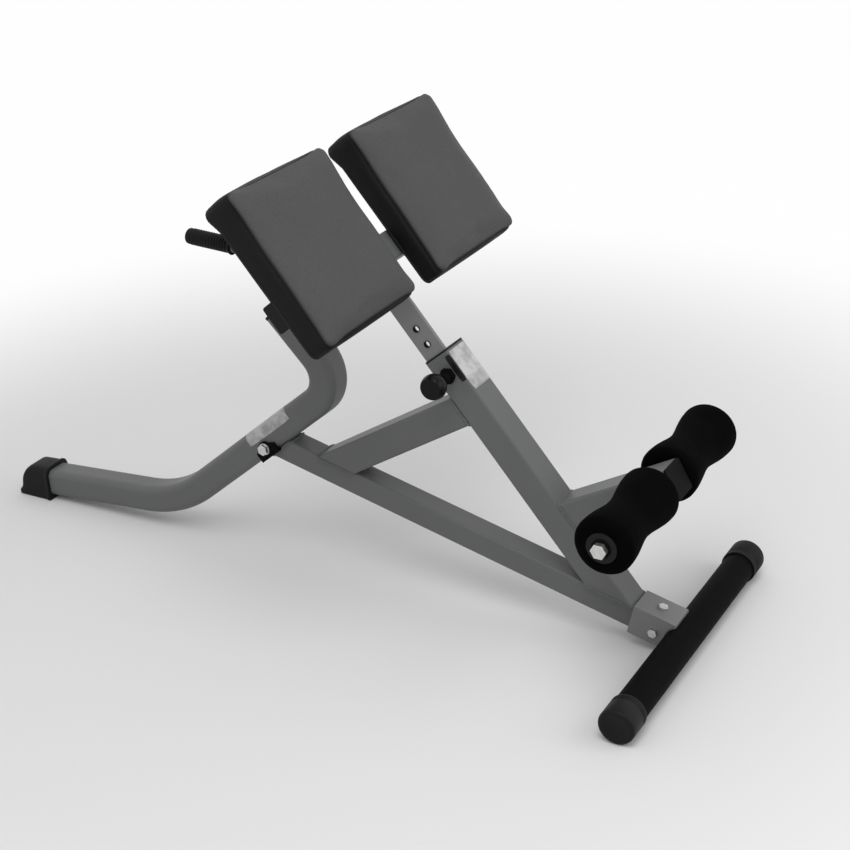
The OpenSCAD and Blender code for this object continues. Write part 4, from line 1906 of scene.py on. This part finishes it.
@dataclass
class Labels:
    """Bare film patches on the tubes."""

    layout: Layout
    lift: float = 0.15
    thick: float = 0.2
    sunk: float = 0.1
    corner_ease: float = 1.5

    def patch(
        self, name: str, tube: Place, sizes: tuple, span: tuple, coat: Coat
    ) -> bpy.types.Object:
        """A film patch that follows a square tube's outside.

        Args:
            name: The piece's name.
            tube: The tube's frame.
            sizes: The tube's outer side and corner radius.
            span: Start and end along the tube, then round the section.
            coat: The finish.

        Returns:
            The closed patch.
        """
        x0, x1, a0, a1 = span
        steps, across = 16, 20
        rings = []
        for i in range(steps + 1):
            x = x0 + (x1 - x0) * i / steps
            near_end = min(0.5, min(i, steps - i) / 3 * 0.5)
            ease = self.corner_ease * (1 - math.sin(math.pi * near_end))
            outer, inner = [], []
            for j in range(across + 1):
                turn = a0 + ease + (a1 - a0 - 2 * ease) * j / across
                (y, z), (ny, nz) = tube_skin(*sizes, turn)
                out = self.lift + self.thick
                outer.append(tube.at(x, y + ny * out, z + nz * out))
                inner.append(tube.at(x, y - ny * self.sunk, z - nz * self.sunk))
            rings.append(outer + list(reversed(inner)))
        return loft(name, rings, coat)

    def build(self) -> None:
        """Builds the three patches."""
        lay = self.layout
        main = (lay.main_w, lay.main_corner)
        leg = (lay.leg_w, lay.leg_corner)
        for name, tube, sizes, span, coat in (
            ("upright_label", lay.slope, main, (3.0, 72.0, -23.6, 23.6), Coat.PALE),
            ("upright_strip", lay.slope, main, (6.0, 52.0, -34.5, -23.9), Coat.DARK),
            ("leg_label", lay.leg, leg, (-27.0, 81.0, -42.0, -9.0), Coat.LEG_FILM),
        ):
            announce(self.patch(name, tube, sizes, span, coat), "base_frame", "frame_paint")


# ---------------------------------------------------------------- post holes


@dataclass
class HoleShadeLiners:
    """Black sheets lining the post's seven holes: painted shade in the bores."""

    layout: Layout
    holes: int = 7
    pitch: float = 28.0
    first: float = 32.0
    bore: float = 5.38
    skin: float = 0.3
    near_y: float = -24.28
    far_y: float = -18.32

    def build(self) -> None:
        """Builds the painted shade liners as one piece."""
        points, faces, around = [], [], 32
        for k in range(self.holes):
            t = self.first + (k - self.holes // 2) * self.pitch
            start = len(points)
            section = (
                (self.bore, self.near_y), (self.bore, self.far_y),
                (self.bore - self.skin, self.far_y), (self.bore - self.skin, self.near_y),
            )
            for r, y in section:
                circle = unit_circle(around)
                points += [self.layout.slope.at(t + r * cx, y, r * cz) for cx, cz in circle]
            for ring in range(4):
                for i in range(around):
                    j = (i + 1) % around
                    low, high = start + ring * around, start + (ring + 1) % 4 * around
                    faces.append((low + i, low + j, high + j, high + i))
        liners = new_object("post_hole_shade", points, faces, Coat.BLACK)
        outward(liners)
        announce(liners, "pad_carriage", "black_paint")


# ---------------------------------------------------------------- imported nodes


@dataclass
class PackedNodes:
    """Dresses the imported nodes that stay, and rounds the edges of the hard fittings."""

    coats: dict = field(
        default_factory=lambda: {
            Coat.FRAME: [
                "front_leg_tube", "base_tube", "strut_tube", "upright_tube", "roller_arm",
                "pad_cross_tube", "left_handle", "right_handle",
            ],
            Coat.BRACKET: ["pad_post"],
            Coat.BLACK: ["rear_crossbar", "axle_washers"],
            Coat.PLASTIC: ["left_roller_sleeve", "right_roller_sleeve"],
            Coat.KNOB: ["pin_knob"],
            Coat.PLY: ["left_pad_board", "right_pad_board"],
            Coat.ZINC: ["roller_axle", "leg_washers", "pin_plunger", "pin_spring"],
        }
    )
    fittings: tuple = (
        ("rear_bracket", 1.4, Coat.BRACKET, "bracket_paint"),
        ("leg_bracket", 0.9, Coat.BLACK, "black_paint"),
        ("leg_top_cap", 1.2, Coat.PLASTIC, "black_plastic"),
        ("arm_end_cap", 1.2, Coat.PLUG, "black_plastic"),
        ("left_cross_cap", 1.1, Coat.PLASTIC, "black_plastic"),
        ("right_cross_cap", 1.1, Coat.PLASTIC, "black_plastic"),
        ("upright_bushing", 0.8, Coat.PLASTIC, "black_plastic"),
        ("left_pad_plate", 0.7, Coat.FRAME, "frame_paint"),
        ("right_pad_plate", 0.7, Coat.FRAME, "frame_paint"),
        ("pin_housing", 0.5, Coat.BLACK, "zinc"),
        ("leg_bolt", 0.6, Coat.ZINC, "zinc"),
        ("leg_nut", 0.5, Coat.ZINC, "zinc"),
        ("rear_bolts", 0.5, Coat.ZINC, "zinc"),
        ("rear_nuts", 0.5, Coat.ZINC, "zinc"),
        ("axle_nuts", 0.7, Coat.ZINC, "zinc"),
        ("left_pad_bolts", 0.5, Coat.ZINC, "zinc"),
        ("right_pad_bolts", 0.5, Coat.ZINC, "zinc"),
    )

    def build(self) -> None:
        """Paints the nodes and builds the rounded fittings."""
        for coat, names in self.coats.items():
            for name in names:
                slots = frame["nodes"][name].data.materials
                slots.clear()
                slots.append(coat.material())
        bodies = {n: b for b, ns in frame["record"]["behaviour"]["bodies"].items() for n in ns}
        for name, width, coat, slot in self.fittings:
            announce(softened(name, width, coat), bodies[name], slot, (name,))


# ---------------------------------------------------------------- studio


@dataclass
class Studio:
    """The floor, the lights and the camera."""

    camera_at: tuple = (1.4462, -2.0024, 1.4352)
    yaw: float = 0.55453
    pitch: float = -0.45109
    roll: float = -0.06715
    lens: float = 71.52
    sensor: float = 36.0
    floor_size: float = 9.0
    floor_drop: float = 0.0004
    floor_level: float = 0.76
    fade_start: float = 0.7
    fade_end: float = 1.75
    fade_most: float = 0.98
    world_level: float = 0.62

    def camera(self) -> None:
        """A camera at the viewing angle."""
        data = bpy.data.cameras.new("camera")
        data.sensor_width = self.sensor
        data.lens = self.lens
        data.clip_end = 60.0
        made = bpy.data.objects.new("camera", data)
        right = Vector((math.cos(self.yaw), math.sin(self.yaw), 0))
        level = Vector((-math.sin(self.yaw), math.cos(self.yaw), 0))
        ahead = level * math.cos(self.pitch) + Vector((0, 0, math.sin(self.pitch)))
        up = right.cross(ahead)
        across = right * math.cos(self.roll) + up * math.sin(self.roll)
        upward = up * math.cos(self.roll) - right * math.sin(self.roll)
        turn = Matrix((across, upward, -ahead)).transposed()
        made.matrix_world = Matrix.Translation(self.camera_at) @ turn.to_4x4()
        bpy.context.scene.collection.objects.link(made)
        bpy.context.scene.camera = made

    def floor(self) -> None:
        """A plain pale floor that fades to white away from the chair."""
        size = self.floor_size
        square = ((-size, -size), (size, -size), (size, size), (-size, size))
        corners = [(x, y, -self.floor_drop) for x, y in square]
        mesh = bpy.data.meshes.new("floor")
        mesh.from_pydata(corners, [], [(0, 1, 2, 3)])
        recipe = Recipe("pale_floor")
        mesh.materials.append(recipe.material)
        recipe.surface(
            {"Base Color": grey(self.floor_level), "Roughness": 0.75, "Specular IOR Level": 0.2}
        )
        where = recipe.node("ShaderNodeTexCoord").output("Object")
        length = recipe.node("ShaderNodeVectorMath", {"operation": "LENGTH"}, {0: where})
        away = length.output("Value").step(self.fade_start, self.fade_end)
        fade = away * self.fade_most * recipe.background_seen()
        white = recipe.node("ShaderNodeEmission", {}, {"Color": grey(1.0), "Strength": 1.0})
        recipe.shown(
            recipe.node("ShaderNodeMixShader", {}, {0: fade, 1: recipe.shader, 2: white})
        )
        made = bpy.data.objects.new("floor", mesh)
        bpy.context.scene.collection.objects.link(made)
        made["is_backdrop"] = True

    def lamp(self, name: str, at: tuple, aim: tuple, size: float, power: float) -> None:
        """A square softbox.

        Args:
            name: Its name.
            at: Where it stands.
            aim: The point that it faces.
            size: Its side, in metres.
            power: Its power, in watts.
        """
        data = bpy.data.lights.new(name, "AREA")
        data.shape = "SQUARE"
        data.size = size
        data.energy = power
        made = bpy.data.objects.new(name, data)
        made.location = at
        made.rotation_euler = (Vector(aim) - Vector(at)).to_track_quat("-Z", "Y").to_euler()
        bpy.context.scene.collection.objects.link(made)

    def world(self) -> None:
        """Even light round the chair, white where the camera, gloss or glass sees it."""
        world = bpy.data.worlds.new("studio")
        bpy.context.scene.world = world
        graph = Graph(world)
        dim, bright = (
            graph.node("ShaderNodeBackground", {}, {"Color": grey(level)})
            for level in (self.world_level, 1.0)
        )
        mixed = graph.node(
            "ShaderNodeMixShader", {}, {0: graph.background_seen(), 1: dim, 2: bright}
        )
        graph.node("ShaderNodeOutputWorld", {}, {"Surface": mixed})

    def build(self) -> None:
        """Sets up the camera, the floor and the light."""
        self.camera()
        self.floor()
        self.world()
        self.lamp("key", (0.9, -1.2, 3.0), (0.0, 0.0, 0.3), 1.8, 38.0)
        self.lamp("fill", (2.8, 0.6, 1.7), (0.1, 0.0, 0.35), 1.6, 16.0)
        bpy.context.scene.view_settings.view_transform = "Standard"


def write_sizes() -> None:
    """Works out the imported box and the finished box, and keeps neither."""
    [[list(corner) for corner in box] for box in (cad_box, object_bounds())]


def main() -> None:
    """Builds the classes in order."""
    logging.basicConfig(level=logging.INFO, format="%(name)s %(message)s")
    layout = Layout()
    makers: list[Callable[[], None]] = [
        Studio().build,
        PackedNodes().build,
        ThighPads(layout).build,
        AnkleRollers(layout).build,
        HandGrips(layout).build,
        FloorFittings(layout).build,
        Welds(layout).build,
        Labels(layout).build,
        HoleShadeLiners(layout).build,
    ]
    for make in makers:
        make()
    write_sizes()


if __name__ == "__main__":
    main()
